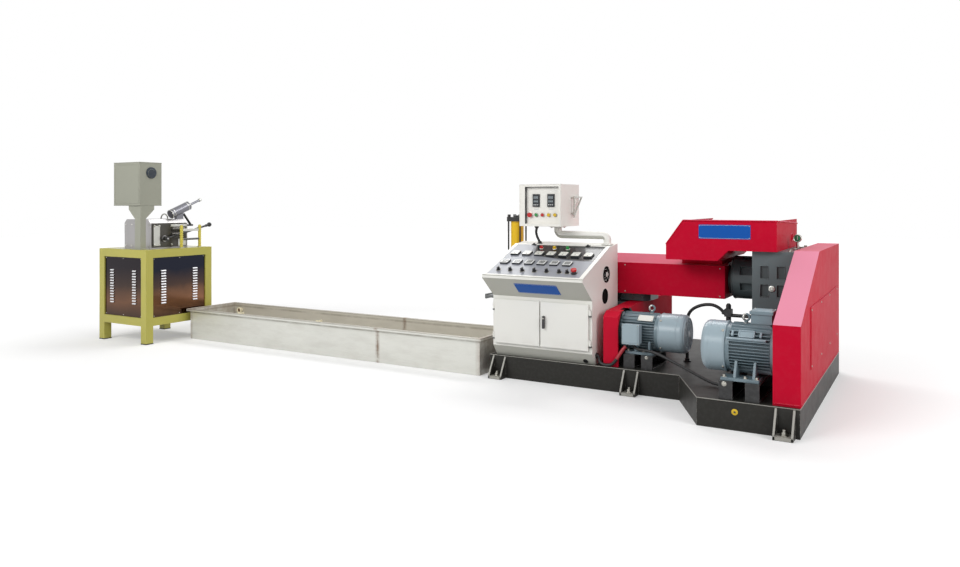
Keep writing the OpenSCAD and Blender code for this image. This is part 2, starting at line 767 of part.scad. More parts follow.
sc_y0 = axis_y - 70;
sc_z1 = low_z + sc_up;
cyl_z0 = sc_z1 + 130;
cyl_top = cyl_z0 + cyl_len;
cyl_x = sc_x0 + sc_len / 2;
module screen_changer() {
    color([0.3, 0.31, 0.32]) {
        rod_x(sc_x1 - 1, low_x0 - sc_x1 + 1, axis_y, low_z, low_h * 0.34);
        box(sc_x0, sc_x1, sc_y0, axis_y + low_w / 2, low_z - low_h * 0.36, sc_z1);
        box(sc_x0 - slide_out, sc_x0 + 1, sc_y0 + 20, sc_y0 + 140, sc_z1 - 58, sc_z1 - 34);
        box(sc_x0 - slide_out, sc_x0 - slide_out + 18, sc_y0 + 20, sc_y0 + 140, sc_z1 - 70, sc_z1 - 24);
        for (s = [-1, 1]) translate([cyl_x, axis_y + s * (cyl_cap - 22), sc_z1 - 1]) cylinder(h = cyl_z0 - sc_z1 + 1, r = 14);
        translate([cyl_x, axis_y, sc_z1 - 1]) cylinder(h = cyl_z0 - sc_z1 + 1, r = 22);
    }
}
module hydraulic_cylinder() {
    color([1, 0.8, 0.08]) {
        translate([cyl_x - cyl_cap, axis_y - cyl_cap, cyl_z0]) cube([2 * cyl_cap, 2 * cyl_cap, 40]);
        translate([cyl_x, axis_y, cyl_z0 + 39]) cylinder(h = cyl_len - 78, r = cyl_r);
        translate([cyl_x - cyl_cap, axis_y - cyl_cap, cyl_top - 40]) cube([2 * cyl_cap, 2 * cyl_cap, 40]);
        for (a = [-1, 1]) for (b = [-1, 1]) translate([cyl_x + a * (cyl_cap - 12), axis_y + b * (cyl_cap - 12),
            cyl_z0 + 39]) cylinder(h = cyl_len - 78, r = 8);
    }
}
die_z0 = tr_h + 26;
module die_head() {
    x1 = sc_x1 - 6;
    color([0.34, 0.35, 0.36]) difference() {
        union() {
            box(x1 - die_w, x1, tr_y1 - die_over, sc_y0, die_z0, low_z + 40);
            box(x1 - die_w - 8, x1 + 4, sc_y0 - 26, sc_y0, die_z0 - 8, low_z + 56);
        }
        for (k = [0:4]) translate([x1 - die_w + 10 + k * (die_w - 20) / 4, tr_y1 - die_over + 14, die_z0 - 1])
            cylinder(h = 30, r = 3);
    }
}

// Console cabinet of bent sheet, open behind its doors and under its instrument panel
function con_outer() = [[con_front + con_bevel, base_h], [con_front, cz0], [con_front, cz1],
    [nose_y, nz - nose_lip], [nose_y, nz], [desk_y1, dz], [con_back, tz], [con_back, base_h]];
function con_inner() = [[con_front + con_bevel + con_t * 0.6, base_h + con_t],
    [con_front + con_t, cz0 + con_t * 0.6], [con_front + con_t, cz1 + con_t * 0.5],
    [nose_y + con_t * 1.2, nz - nose_lip + con_t * 0.9], [nose_y + con_t * 1.2, nz - con_t * 0.6],
    [desk_y1, dz - con_t], [con_back - con_t, tz - con_t], [con_back - con_t, base_h + con_t]];
module on_desk(u, v, lift = 0) {
    translate([u, nose_y, nz]) rotate([desk_a, 0, 0]) translate([0, v, lift]) children();
}
module console_cabinet() {
    color([0.92, 0.93, 0.92]) difference() {
        prism_x(con_x0, con_w, con_outer());
        prism_x(con_x0 + con_t, con_w - 2 * con_t, con_inner());
        box(con_x0 + 40, con_x1 - 40, con_front - 1, con_front + con_t + 1, door_z0 + 22, door_z0 + door_h - 22);
        on_desk(con_x0 + panel_in + 14, desk_edge + 14, -40)
            cube([con_w - 2 * panel_in - 28, panel_len - 28, 41]);
        rod_x(con_x1 - con_t - 1, con_t + 2, fan_y, fan_z, fan_r - 8);
        rod_x(con_x1 - con_t - 1, con_t + 2, fan_y - 28, fan_z - 179, side_hole_r);
    }
}
fan_y = con_front + fan_back;
fan_z = cz1 + fan_up;
fan_r = 62;
module side_fan_grille() {
    color([0.62, 0.6, 0.57]) translate([con_x1, fan_y, fan_z]) rotate([90, 0, 90]) linear_extrude(6) {
        circle(r = 22);
        difference() {
            circle(r = fan_r + 6);
            circle(r = fan_r - 8);
        }
        for (a = [20:45:155]) rotate(a) translate([-fan_r, -4]) square([2 * fan_r, 8]);
    }
}
module instrument_panel() {
    color([0.5, 0.51, 0.54]) on_desk(con_x0 + panel_in, desk_edge) cube([con_w - 2 * panel_in, panel_len, panel_t]);
}
module desk_box(x, v, w, d, h) { on_desk(x - w / 2, v - d / 2, panel_t) cube([w, d, h]); }
row_knob = desk_edge + 74;
row_ctrl = row_knob + 156;
row_meter = row_ctrl + 178;
row_lamp = row_meter + 124;
module panel_meters() {
    color([0.93, 0.93, 0.9]) for (k = [0:meter_n - 1])
        desk_box(con_mid + (k - (meter_n - 1) / 2) * meter_pitch, row_meter, meter_w, meter_w, 14);
}
module temperature_controllers() {
    color([0.12, 0.12, 0.13]) for (k = [0:ctrl_n - 1])
        desk_box(con_mid - 66 + (k - (ctrl_n - 1) / 2) * ctrl_pitch, row_ctrl, ctrl_w, ctrl_w, 12);
}
module selector_knobs() {
    color([0.06, 0.06, 0.06]) for (k = [0:6]) {
        x = con_mid - 344 + (k < 6 ? k * knob_pitch : 5 * knob_pitch + 70);
        on_desk(x, row_knob, panel_t) cylinder(h = 10, r = 19);
        on_desk(x, row_knob, panel_t + 10) cylinder(h = 18, r = 13);
        on_desk(x - 4, row_knob - 16, panel_t + 10) cube([8, 32, 22]);
    }
}
module emergency_stop() {
    x = con_mid + stop_in;
    color([0.75, 0.08, 0.08]) {
        on_desk(x, row_knob, panel_t) cylinder(h = 24, r = 15);
        on_desk(x, row_knob, panel_t + 24) cylinder(h = 16, r = 24);
    }
}
module pilot_lamps() {
    color([0.85, 0.3, 0.2]) for (k = [0:2]) {
        on_desk(con_mid - 149 + k * 125, row_lamp, panel_t) cylinder(h = 8, r = 17);
        on_desk(con_mid - 149 + k * 125, row_lamp, panel_t + 8) cylinder(h = 16, r = 13);
    }
}

// Hinged console doors, each turning on pins at its outer edge
knuckle_h = 46;
knuckle_lo = door_z0 + 40;
knuckle_hi = door_z0 + door_h - 40 - knuckle_h;
module door_leaf(x0, x1, hx, inner) {
    difference() {
        union() {
            box(x0, x1, door_y0, door_y1, door_z0, door_z0 + door_h);
            for (z = [knuckle_lo, knuckle_hi]) {
                translate([hx, hinge_y, z]) cylinder(h = knuckle_h, r = knuckle_r);
                box(min(hx, inner), max(hx, inner), hinge_y - 4, hinge_y + 4, z, z + knuckle_h);
            }
        }
        for (z = [knuckle_lo, knuckle_hi]) translate([hx, hinge_y, z - 1])
            cylinder(h = knuckle_h + 2, r = pin_r + fit);
    }
}
module console_door_left() {
    x0 = hinge_lx + door_start;
    color([0.94, 0.94, 0.93]) door_leaf(x0, con_mid - door_gap, hinge_lx, x0);
}
module console_door_right() {
    x1 = hinge_rx - door_start;
    color([0.94, 0.94, 0.93]) {
        door_leaf(con_mid + door_gap, x1, hinge_rx, x1);
        box(con_mid + 34, con_mid + 48, door_y0 - 6, door_y0, door_z0 + 150, door_z0 + 262);
        box(con_mid + 34, con_mid + 48, door_y0 - 24, door_y0 - 6, door_z0 + 158, door_z0 + 254);
    }
}
module door_hinges() {
    color([0.35, 0.35, 0.35]) for (hx = [hinge_lx, hinge_rx]) for (z = [knuckle_lo, knuckle_hi]) {
        translate([hx, hinge_y, z - 14]) cylinder(h = knuckle_h + 14, r = pin_r);
        translate([hx, hinge_y, z - 14]) cylinder(h = 13, r = knuckle_r);
        box(hx - 8, hx + 8, hinge_y, con_front, z - 14, z - 1);
    }
}

// Pendant box on its arm
module elbow(x, z, turn) {
    translate([x, arm_y, z]) rotate([90, 0, 0]) rotate(turn) rotate_extrude(angle = 90)
        translate([arm_bend, 0]) circle(r = arm_r);
}
module pendant_arm() {
    color([0.9, 0.9, 0.88]) {
        difference() {
            translate([arm_x, arm_y, arm_foot_z - 30]) cylinder(h = arm_z - arm_bend - arm_foot_z + 30, r = arm_r);
            prism_x(arm_x - 60, 120, [[desk_y1, dz], [con_back, tz], [con_back, tz - 90], [desk_y1, dz - 90]]);
        }
        elbow(arm_x - arm_bend, arm_z - arm_bend, 0);
        rod_x(pend_foot_x + arm_bend, arm_x - pend_foot_x - 2 * arm_bend, arm_y, arm_z, arm_r);
        elbow(pend_foot_x + arm_bend, arm_z + arm_bend, 180);
        translate([pend_foot_x, arm_y, arm_z + arm_bend]) cylinder(h = pend_z0 - arm_z - arm_bend, r = arm_r);
        translate([pend_foot_x - 55, arm_y - 55, pend_z0 - 12]) cube([110, 110, 12]);
    }
}
module pendant_box() {
    color([0.91, 0.86, 0.78]) difference() {
        box(pend_x0, pend_x1, pend_y0, pend_y1, pend_z0, pend_z0 + pend_h);
        box(pend_x0 + pend_left, pend_x1 - pend_rim, pend_y0 - 1, pend_y0 + pend_recess,
            pend_z0 + pend_rim, pend_z0 + pend_h - pend_rim);
    }
}
pf = pend_y0 + pend_recess;
module pendant_displays() {
    color([0.1, 0.12, 0.13]) for (x = [pend_x0 + 120, pend_x0 + 262])
        box(x, x + 66, pf - 10, pf, pend_z0 + pend_h * 0.462, pend_z0 + pend_h * 0.766);
}
module pendant_buttons() {
    color([0.8, 0.2, 0.15]) for (k = [0:4])
        rod_y(pf - (k == 0 ? 26 : 16), k == 0 ? 26 : 16, pend_x0 + 94 + k * 60, pend_z0 + 100, k == 0 ? 20 : 14);
}
module pendant_handle() {
    y0 = pend_y0 + pend_d * 0.53;
    y1 = y0 + pend_d * 0.4;
    z0 = pend_z0 + pend_h * 0.27;
    z1 = pend_z0 + pend_h * 0.71;
    out = 26;
    bar = 12;
    color([0.25, 0.23, 0.2]) {
        translate([pend_x1 + out, 0, 0]) rotate([90, 0, 90]) linear_extrude(bar) difference() {
            polygon([[y0, z0 - 2 * bar], [y0, z1], [y1 + 2 * bar, z1]]);
            polygon([[y0 + bar, z0 + bar], [y0 + bar, z1 - bar], [y1, z1 - bar]]);
        }
        for (z = [z0 + bar, z1 - bar]) rod_x(pend_x1, out + 2, y0 + bar / 2, z, 6);
    }
}
module pendant_cable() { color([0.05, 0.05, 0.05]) tube(pend_route, 11); }
module motor_cable() { color([0.05, 0.05, 0.05]) tube(cable_route, 13); }
module motor_link_cable() { color([0.05, 0.05, 0.05]) tube(link_route, 11); }
module hydraulic_hose() { color([0.05, 0.05, 0.05]) tube(hose_route, 13); }

// Cooling trough with an out-turned rim
module trough_shell() {
    color([0.8, 0.8, 0.77]) difference() {
        union() {
            box(tr_x0, tr_x1, tr_y0, tr_y1, 0, tr_h);
            box(tr_x0 - rim_w, tr_x1 + rim_w, tr_y0 - rim_w, tr_y1 + rim_w, tr_h - rim_h, tr_h);
        }
        box(tr_x0 + tr_t, tr_x1 - tr_t, tr_y0 + tr_t, tr_y1 - tr_t, tr_t, tr_h + 1);
        difference() {
            box(tr_x0 - rim_w + tr_t, tr_x1 + rim_w - tr_t, tr_y0 - rim_w + tr_t, tr_y1 + rim_w - tr_t,
                tr_h - rim_h - 1, tr_h - tr_t);
            box(tr_x0, tr_x1, tr_y0, tr_y1, 0, tr_h);
        }
    }
}
module trough_guides() {
    color([0.75, 0.68, 0.35]) {
        for (x = [tr_x0 + tr_len * 0.205, tr_x0 + tr_len * 0.5]) {
            box(x - clip_w / 2, x + clip_w / 2, tr_y0 + tr_t, tr_y0 + tr_t + 6, tr_h - clip_h, tr_h + 10);
            prism_x(x - 4, 8, [[tr_y0 + tr_t + 5, tr_h - clip_h + 10], [tr_y0 + tr_t + clip_w, tr_h - 10],
                [tr_y0 + tr_t + clip_w, tr_h + 12], [tr_y0 + tr_t + 5, tr_h + 4]]);
        }
        rod_y(tr_y1 - tr_t - drain_l, drain_l, tr_x0 + tr_len * 0.03, tr_h * 0.76, drain_r);
    }
}

// Strand cutter table
module table_frame() {
    color([0.74, 0.7, 0.32]) {
        for (x = [tab_x0, tab_x1 - bar_w]) for (y = [tab_y0, tab_y1 - bar_w])
            box(x, x + bar_w, y, y + bar_w, 0, tab_h);
        for (z = [rail_z, tab_h - bar_w]) {
            for (y = [tab_y0, tab_y1 - bar_w])
                box(tab_x0 + bar_w, tab_x1 - bar_w, y, y + bar_w, z, z + bar_w);
            for (x = [tab_x0, tab_x1 - bar_w])
                box(x, x + bar_w, tab_y0 + bar_w, tab_y1 - bar_w, z, z + bar_w);
        }
    }
}
// One louvred sheet lying in the X and Z directions, with its outer face at Y zero
module louvred_sheet(w, h) {
    difference() {
        cube([w, panel_sheet, h]);
        for (c = [0.2, 0.8]) for (k = [0:louvre_n - 1])
            translate([w * c - louvre_w / 2, -1, h / 2 + (k - (louvre_n - 1) / 2) * louvre_pitch - 5])
                cube([louvre_w, panel_sheet + 2, 10]);
    }
}
module table_panels() {
    z0 = rail_z + bar_w;
    h = tab_h - bar_w - z0;
    w = tab_len - 2 * bar_w;
    d = tab_dep - 2 * bar_w;
    color([0.78, 0.78, 0.74]) {
        translate([tab_x0 + bar_w, tab_y0 + panel_set, z0]) louvred_sheet(w, h);
        translate([tab_x0 + bar_w, tab_y1 - panel_set - panel_sheet, z0]) louvred_sheet(w, h);
        translate([tab_x1 - panel_set, tab_y0 + bar_w, z0]) rotate([0, 0, 90]) louvred_sheet(d, h);
        translate([tab_x0 + panel_set + panel_sheet, tab_y0 + bar_w, z0]) rotate([0, 0, 90]) louvred_sheet(d, h);
    }
}
module table_top() {
    color([0.72, 0.72, 0.7]) box(tab_x0 + bar_w, tab_x1 - bar_w, tab_y0 + bar_w, tab_y1 - bar_w, tab_top - top_t, tab_top);
}
module control_post() {
    g = 52;
    x0 = post_x1 - post_w;
    z1 = tab_top + post_h;
    color([0.45, 0.48, 0.46]) {
        box(x0, post_x1, post_y0, post_y0 + post_d, tab_top, z1);
        box(x0 - 20, post_x1 + 20, post_y0 - 20, post_y0 + post_d + 20, tab_top, tab_top + 12);
        prism_y(post_y0, post_d, [[x0, z1 - 140], [post_x1, z1 - 140], [post_x1, z1], [x0 - 2 * g, z1],
            [x0 - 2 * g, z1 - 40]]);
        prism_x(x0, post_w, [[post_y0 + post_d, z1 - 140], [post_y0 + post_d + 2 * g, z1 - 40],
            [post_y0 + post_d + 2 * g, z1], [post_y0 + post_d, z1]]);
    }
}
box_x1 = post_x1;
box_x0 = box_x1 - box_w;
box_y0 = post_y0 - 10;
box_z0 = tab_top + post_h;
module control_box() {
    color([0.5, 0.53, 0.5]) {
        box(box_x0, box_x1, box_y0, box_y0 + box_d, box_z0, box_z0 + box_h);
        rod_x(box_x1, 14, box_y0 + 140, box_z0 + box_h - 120, 46);
    }
}
module cutter_head() {
    color([0.7, 0.7, 0.68]) {
        prism_y(head_y0, head_w, [[head_x0, tab_top], [head_x1, tab_top], [head_x1, tab_top + head_h - 40],
            [head_x1 - 40, tab_top + head_h], [head_x0 + 40, tab_top + head_h], [head_x0, tab_top + head_h - 40]]);
        rod_x(head_x1 - 2, 20, lever_y, lever_z, 34);
        rod_x(head_x1 + 16, 56, lever_y, lever_z, 10);
        translate([head_x0 + 180, head_y0 + 110, tab_top + head_h - 2]) cylinder(h = 20, r = 12);
        translate([head_x0 + 180, head_y0 + 110, tab_top + head_h + 38]) rotate([90, 0, 0]) rotate_extrude()
            translate([24, 0]) circle(r = 7);
    }
}
module press_roll() {
    y = head_y1 - 62;
    z = tab_top + head_h + 2 * roll_r;
    color([0.66, 0.66, 0.64]) {
        translate([head_x1 - 60, y, z]) rotate([22 - 90, 0, 0]) {
            translate([0, 0, -120]) cylinder(h = 250, r = roll_r);
            translate([0, 0, -132]) cylinder(h = 12, r = roll_r - 8);
            translate([0, 0, 130]) cylinder(h = 14, r = roll_r - 12);
            translate([0, 0, 144]) cylinder(h = 170, r = 13);
        }
        box(head_x1 - 80, head_x1 - 40, y - 50, y + 40, tab_top + head_h, z - 20);
    }
}
module strand_guide_posts() {
    x = tab_x1 - 66;
    color([0.86, 0.74, 0.2]) {
        for (y = [guide_y0, guide_y1]) translate([x, y, tab_top]) cylinder(h = guide_h, r = 16);
        rod_y(guide_y0, guide_y1 - guide_y0, x, tab_top + guide_h * 0.39, 12);
    }
}
module cutter_lever() {
    color([0.1, 0.1, 0.1]) translate([0, lever_y, lever_z]) rotate([lever_a - 90, 0, 0]) translate([0, -lever_y, -lever_z]) {
        difference() {
            rod_x(lever_x - 18, 36, lever_y, lever_z, 26);
            rod_x(lever_x - 19, 38, lever_y, lever_z, 10 + fit);
        }
        translate([lever_x, lever_y, lever_z + 22]) cylinder(h = lever_len - 22, r = 11);
        translate([lever_x, lever_y, lever_z + lever_len]) sphere(r = 26);
    }
}

base_frame();
barrel_cover();
barrel_stand();
thrust_housing();
cooling_pipe();
gearbox_housing();
gearbox_gauge();
feed_hopper();
feed_throat();
belt_guard_right();
guard_access_panel();
belt_guard_left();
motor_large_body();
motor_large_fan_cover();
motor_large_terminal_box();
motor_large_stand();
motor_small_body();
motor_small_fan_cover();
motor_small_terminal_box();
motor_small_stand();
lower_gearbox();
lower_barrel_cover();
melt_transfer_block();
screen_changer();
hydraulic_cylinder();
die_head();
console_cabinet();
instrument_panel();
panel_meters();
temperature_controllers();
selector_knobs();
pilot_lamps();
emergency_stop();
console_door_left();
console_door_right();
door_hinges();
side_fan_grille();
pendant_arm();
pendant_box();
pendant_displays();
pendant_buttons();
pendant_handle();
pendant_cable();
motor_cable();
motor_link_cable();
hydraulic_hose();
trough_shell();
trough_guides();
table_frame();
table_panels();
table_top();
control_post();
control_box();
cutter_head();
press_roll();
strand_guide_posts();
cutter_lever();
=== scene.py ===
import math
from itertools import product
from math import cos, radians, sin
import bmesh
import bpy
from mathutils import Matrix, Vector


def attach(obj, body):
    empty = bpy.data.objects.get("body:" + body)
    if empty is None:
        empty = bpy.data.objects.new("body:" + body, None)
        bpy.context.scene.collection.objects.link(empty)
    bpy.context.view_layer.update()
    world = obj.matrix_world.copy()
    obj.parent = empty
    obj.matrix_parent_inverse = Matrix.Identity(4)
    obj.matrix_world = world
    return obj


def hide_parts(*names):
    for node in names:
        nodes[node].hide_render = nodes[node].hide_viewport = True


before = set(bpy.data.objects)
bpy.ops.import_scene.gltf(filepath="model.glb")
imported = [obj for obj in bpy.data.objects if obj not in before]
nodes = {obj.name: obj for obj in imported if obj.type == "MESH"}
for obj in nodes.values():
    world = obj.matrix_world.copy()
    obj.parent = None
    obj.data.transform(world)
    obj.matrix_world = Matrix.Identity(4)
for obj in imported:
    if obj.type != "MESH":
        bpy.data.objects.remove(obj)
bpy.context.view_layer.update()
scene = bpy.context.scene
MAIN = "line"
MM = 0.001
CORNERS = list(product((-1, 1), repeat=2))
DIAGONALS = [math.pi * (0.25 + 0.5 * k) for k in range(4)]

# Places in the model that the paints and the fittings share, in millimetres
BASE_Y0, BASE_Y1, WING_Y0 = -525, 1125, -1125
EARTH_X, EARTH_Z = 896, 122
BIG, SMALL = (-867, 510), (-293, 467)
BIG_Y, SMALL_Y, SMALL_Z = BIG[0], *SMALL
BIG_LID_X, BIG_LID_Z, LID_X, LID_Y = 1030, 773, -31, -533
AXIS_Y = 260
GEAR_X0, GEAR_LEN, GEAR_FRONT, GEAR_TOP = 818, 310, -170, 1130
GAUGE_X, GAUGE_Z = 1084.6, 1218
HOP_X0, HOP_X1, HOP_Y0, HOP_Y1, HOP_TOP = 299, 1008, -225, 745, 1362
CYL_X, CYL_TOP = -1445, 1364
CON_MID, CON_SIDE = -795, -340
FAN_AT, HOLE_AT = (-249, 903), (-277, 724)
GRIP_X, PENDANT_Y = -754, -252
DESK_Y, DESK_Z, DESK_A = -755, 894, math.atan2(236, 615)
TR_X0, TR_X1, TR_Y0, TR_Y1, TR_TOP = -5122, -1350, -600, 80, 327
DRAIN_X, DRAIN_Z = -4981, 249
TABLE_X, TABLE_Y = -5556, -660
CUT_X, PRESS_X = -5321, -5386
POST_X, POSTS = -5222, (-591, -344)
VENT_Y, VENT_Z = -930, 1820
LAMP_X, LAMP_STEP = CON_MID - 149, 125
BUTTON_X, BUTTON_STEP = -1046, 60


def place(name, data):
    ob = bpy.data.objects.new(name, data)
    scene.collection.objects.link(ob)
    return ob


# Writes shader nodes as expressions
class Nodes:
    def __init__(self, tree):
        self.nt = tree
        tree.nodes.clear()

    def put(self, socket, value):
        if isinstance(value, bpy.types.NodeSocket):
            self.nt.links.new(value, socket)
        elif socket.type == "RGBA":
            socket.default_value = (*value, 1.0)
        else:
            socket.default_value = value

    def node(self, kind, **sockets):
        n = self.nt.nodes.new("ShaderNode" + kind)
        for key, value in sockets.items():
            self.put(n.inputs[key], value)
        return n

    def math(self, op, *values):
        n = self.node("Math")
        n.operation = op
        for socket, value in zip(n.inputs, values):
            self.put(socket, value)
        return n.outputs[0]

    def times(self, a, b):
        return self.math("MULTIPLY", a, b)

    def less(self, a, b):
        return self.math("SUBTRACT", a, b)

    def most(self, a, b):
        return self.math("MAXIMUM", a, b)

    # Distance from two offsets
    def far(self, a, b):
        return self.math("SQRT", self.math("ADD", self.times(a, a), self.times(b, b)))

    def ramp(self, value, lo, hi, to_lo=0.0, to_hi=1.0):
        n = self.node("MapRange")
        for i, v in enumerate((value, lo, hi, to_lo, to_hi)):
            self.put(n.inputs[i], v)
        return n.outputs[0]

    def band(self, value, lo, hi, soft=0.0005):
        return self.times(self.ramp(value, lo - soft, lo + soft), self.ramp(value, hi + soft, hi - soft))

    # One for the rays that should meet a white ground
    def seen(self):
        path = self.node("LightPath").outputs
        direct = self.most(path["Is Camera Ray"], path["Is Transmission Ray"])
        return self.most(direct, path["Is Glossy Ray"])


# Material with one main shader, mapped by place in the model
class Tree(Nodes):
    def __init__(self, name):
        self.mat = bpy.data.materials.new(name)
        self.mat.use_nodes = True
        super().__init__(self.mat.node_tree)
        self.bsdf = self.node("BsdfPrincipled")
        self.node("OutputMaterial", Surface=self.bsdf.outputs[0])
        self.pos = self.node("TexCoord").outputs["Object"]

    def set(self, **values):
        for key, value in values.items():
            self.put(self.bsdf.inputs[key.replace("_", " ")], value)

    def mix(self, fac, a, b):
        n = self.node("Mix")
        n.data_type = "RGBA"
        for i, value in ((0, fac), (6, a), (7, b)):
            self.put(n.inputs[i], value)
        return n.outputs[2]

    # Blends a colour in, by a share of a mask
    def tint(self, col, mask, share, rgb):
        return self.mix(self.times(mask, share), col, lin(*rgb))

    def noise(self, scale, detail, rough=0.55, stretch=None):
        vec = self.pos
        if stretch:
            vec = self.node("Mapping", Vector=vec, Scale=stretch).outputs[0]
        return self.node("TexNoise", Vector=vec, Scale=scale, Detail=detail, Roughness=rough).outputs["Fac"]

    # Roughness that wanders round a middle value
    def satin(self, scale, detail, spread, middle):
        return self.math("MULTIPLY_ADD", self.noise(scale, detail), spread, middle - spread / 2)

    def xyz(self):
        return self.node("SeparateXYZ", Vector=self.pos).outputs

    def normal(self, kind):
        return self.node("SeparateXYZ", Vector=self.node("NewGeometry").outputs[kind]).outputs

    # Normal rounded over the edges
    def soft(self, radius):
        n = self.node("Bevel", Radius=radius)
        n.samples = 4
        return n.outputs[0]

    # Chips along the edges, broken up by noise
    def chips(self, radius, noise, lo, hi):
        n = self.node("VectorMath")
        n.operation = "DOT_PRODUCT"
        self.put(n.inputs[0], self.soft(radius))
        self.put(n.inputs[1], self.node("NewGeometry").outputs["Normal"])
        return self.times(self.ramp(n.outputs["Value"], 0.985, 0.86), self.ramp(noise, lo, hi))

    # Painted sheen: strongest on faces that lean back, less on level ones and none on upright ones
    def fade(self, leaning, level):
        rise = self.normal("True Normal")[2]
        up = self.times(self.ramp(rise, 0.55, 0.65), leaning)
        return self.math("MULTIPLY_ADD", self.ramp(rise, 0.95, 0.98), level - leaning, up)

    def bump(self, height, strength, dist, radius):
        n = self.node("Bump", Strength=strength, Distance=dist, Height=height, Normal=self.soft(radius))
        self.put(self.bsdf.inputs["Normal"], n.outputs[0])
        return self.mat


# Screen colour, 0 to 255, as linear light
def lin(*rgb):
    parts = [v / 255 for v in rgb]
    return tuple(c / 12.92 if c <= 0.04045 else ((c + 0.055) / 1.055) ** 2.4 for c in parts)


def shade(base, share, lift=0.0):
    return tuple(c * share + lift for c in base)


# Sprayed enamel with cloudy tone, orange peel, dust and chipped edges
def enamel(name, rgb, rough, wear, worn, dust, vary=0.16, spec=0.5, sheen_rgb=None):
    t = Tree(name)
    base = lin(*rgb)
    cloud = t.ramp(t.noise(2.2, 4), 0.3, 0.7)
    col = t.mix(t.times(cloud, vary), base, shade(base, 0.55))
    fine = t.ramp(t.noise(38, 5), 0.45, 0.75)
    col = t.mix(t.times(fine, dust), col, shade(base, 0.6, 0.12))
    # A pale painted reflection on faces that look up
    if sheen_rgb:
        col = t.mix(t.fade(0.75, 0.35), col, lin(*sheen_rgb))
    col = t.tint(col, t.chips(0.005, t.noise(26, 6, 0.7), 0.42, 0.6), wear, worn)
    t.set(Base_Color=col, Roughness=t.satin(11, 4, 0.16, rough), Specular_IOR_Level=spec)
    return t.bump(t.noise(320, 2), 0.12, 0.0006, 0.003)


# Brushed or rolled bright sheet, grain along one axis
def steel(name, rgb, rough=0.3, stretch=(4, 60, 260), vary=0.25, tint=None, metal=1.0):
    t = Tree(name)
    base = lin(*rgb)
    grain = t.noise(6, 4, 0.6, stretch)
    blot = t.ramp(t.noise(3.1, 5), 0.3, 0.72)
    col = t.mix(t.times(blot, vary), base, shade(base, 0.6))
    col = t.mix(t.times(t.ramp(grain, 0.35, 0.7), 0.18), col, shade(base, 0.72))
    if tint:
        col = tint(t, col)
    t.set(Base_Color=col, Metallic=metal, Roughness=t.math("MULTIPLY_ADD", grain, 0.25, rough - 0.12))
    return t.bump(grain, 0.08, 0.0006, 0.002)


# Moulded plastic or rubber with a fine grain
def plastic(name, rgb, rough=0.4, bump=0.06, spec=0.5):
    t = Tree(name)
    base = lin(*rgb)
    col = t.mix(t.times(t.noise(30, 4), 0.22), base, shade(base, 0.7, 0.01))
    t.set(Base_Color=col, Roughness=t.satin(40, 3, 0.14, rough), Specular_IOR_Level=spec)
    return t.bump(t.noise(600, 2), bump, 0.0004, 0.0012)


# Cast surface with sand texture under paint, with painted shade inside hollows
def casting(name, rgb, rough, shaded_hollow=None):
    t = Tree(name)
    base = lin(*rgb)
    cloud = t.ramp(t.noise(4, 5), 0.3, 0.7)
    col = t.mix(t.times(cloud, 0.3), base, shade(base, 0.6))
    col = t.tint(col, t.chips(0.004, t.noise(30, 5), 0.4, 0.62), 0.3, (190, 190, 185))
    if shaded_hollow:
        x, y, z = (t.band(v, *span) for v, span in zip(t.xyz(), shaded_hollow))
        # Painted shade in the hollows
        col = t.tint(col, t.times(t.times(x, y), z), 0.6, (20, 22, 23))
    t.set(Base_Color=col, Roughness=t.satin(14, 4, 0.18, rough))
    return t.bump(t.noise(160, 4), 0.22, 0.0012, 0.003)


# Gearbox pockets that take painted shade
SHADED_HOLLOWS = ((0.865, 1.066), (-0.166, -0.153), (0.78, 1.02))
# The red has a pink painted reflection on its upper faces
RED = enamel("red_enamel", (204, 22, 52), 0.34, 0.3, (222, 110, 120), 0.05, spec=0.006, sheen_rgb=(240, 165, 190))
# Base paint with heavy edge chips: worn paint, and partly a painted highlight on the edges
DARK = enamel("base_enamel", (46, 45, 42), 0.46, 0.9, (186, 184, 176), 0.08, spec=0.2)
BLACK = enamel("black_enamel", (34, 34, 35), 0.4, 0.5, (150, 148, 145), 0.2)
MOTOR = casting("motor_casting", (120, 139, 148), 0.32)
FAN = enamel("fan_enamel", (160, 178, 187), 0.3, 0.3, (190, 198, 200), 0.1)
GEAR = casting("gear_casting", (90, 101, 104), 0.42, SHADED_HOLLOWS)
TOOL = steel("machined_steel", (120, 122, 122), 0.38, (40, 40, 40))
CREAM = enamel("cream_powder", (246, 244, 237), 0.38, 0.12, (170, 165, 150), 0.06, vary=0.06)
KNOB = plastic("black_plastic", (22, 22, 24), 0.36)
RUBBER = plastic("black_rubber", (20, 20, 21), 0.55, 0.2)
BRIGHT = steel("bright_wire", (196, 194, 188), 0.28)
ZINC = steel("zinc_bolt", (176, 174, 166), 0.34, (30, 30, 30))
# Worn paint colour that also serves as a painted highlight on the base edges
WORN_HIGHLIGHT = enamel("worn_highlight_edge", (172, 170, 162), 0.45, 0.6, (70, 70, 66), 0.4, vary=0.4)
SIGNAL = enamel("signal_yellow", (228, 190, 30), 0.4, 0.3, (110, 100, 60), 0.2)
PALEYELLOW = enamel("pale_yellow", (222, 208, 84), 0.36, 0.2, (150, 140, 70), 0.06)
OLIVE = enamel("olive_enamel", (194, 187, 88), 0.36, 0.4, (128, 116, 66), 0.15)
GREENGREY = enamel("box_enamel", (164, 165, 150), 0.4, 0.3, (95, 95, 88), 0.12)
REDPLASTIC = plastic("red_plastic", (200, 18, 22), 0.26)
BLUE = plastic("blue_plate", (2, 86, 176), 0.4, spec=0.2)
METERWHITE = plastic("meter_white", (238, 238, 230), 0.25)
METERCASE = plastic("meter_case", (46, 47, 50), 0.3)
BEZEL = plastic("controller_white", (226, 228, 226), 0.32)
WINDOW = plastic("dark_window", (44, 48, 52), 0.16, 0.01)
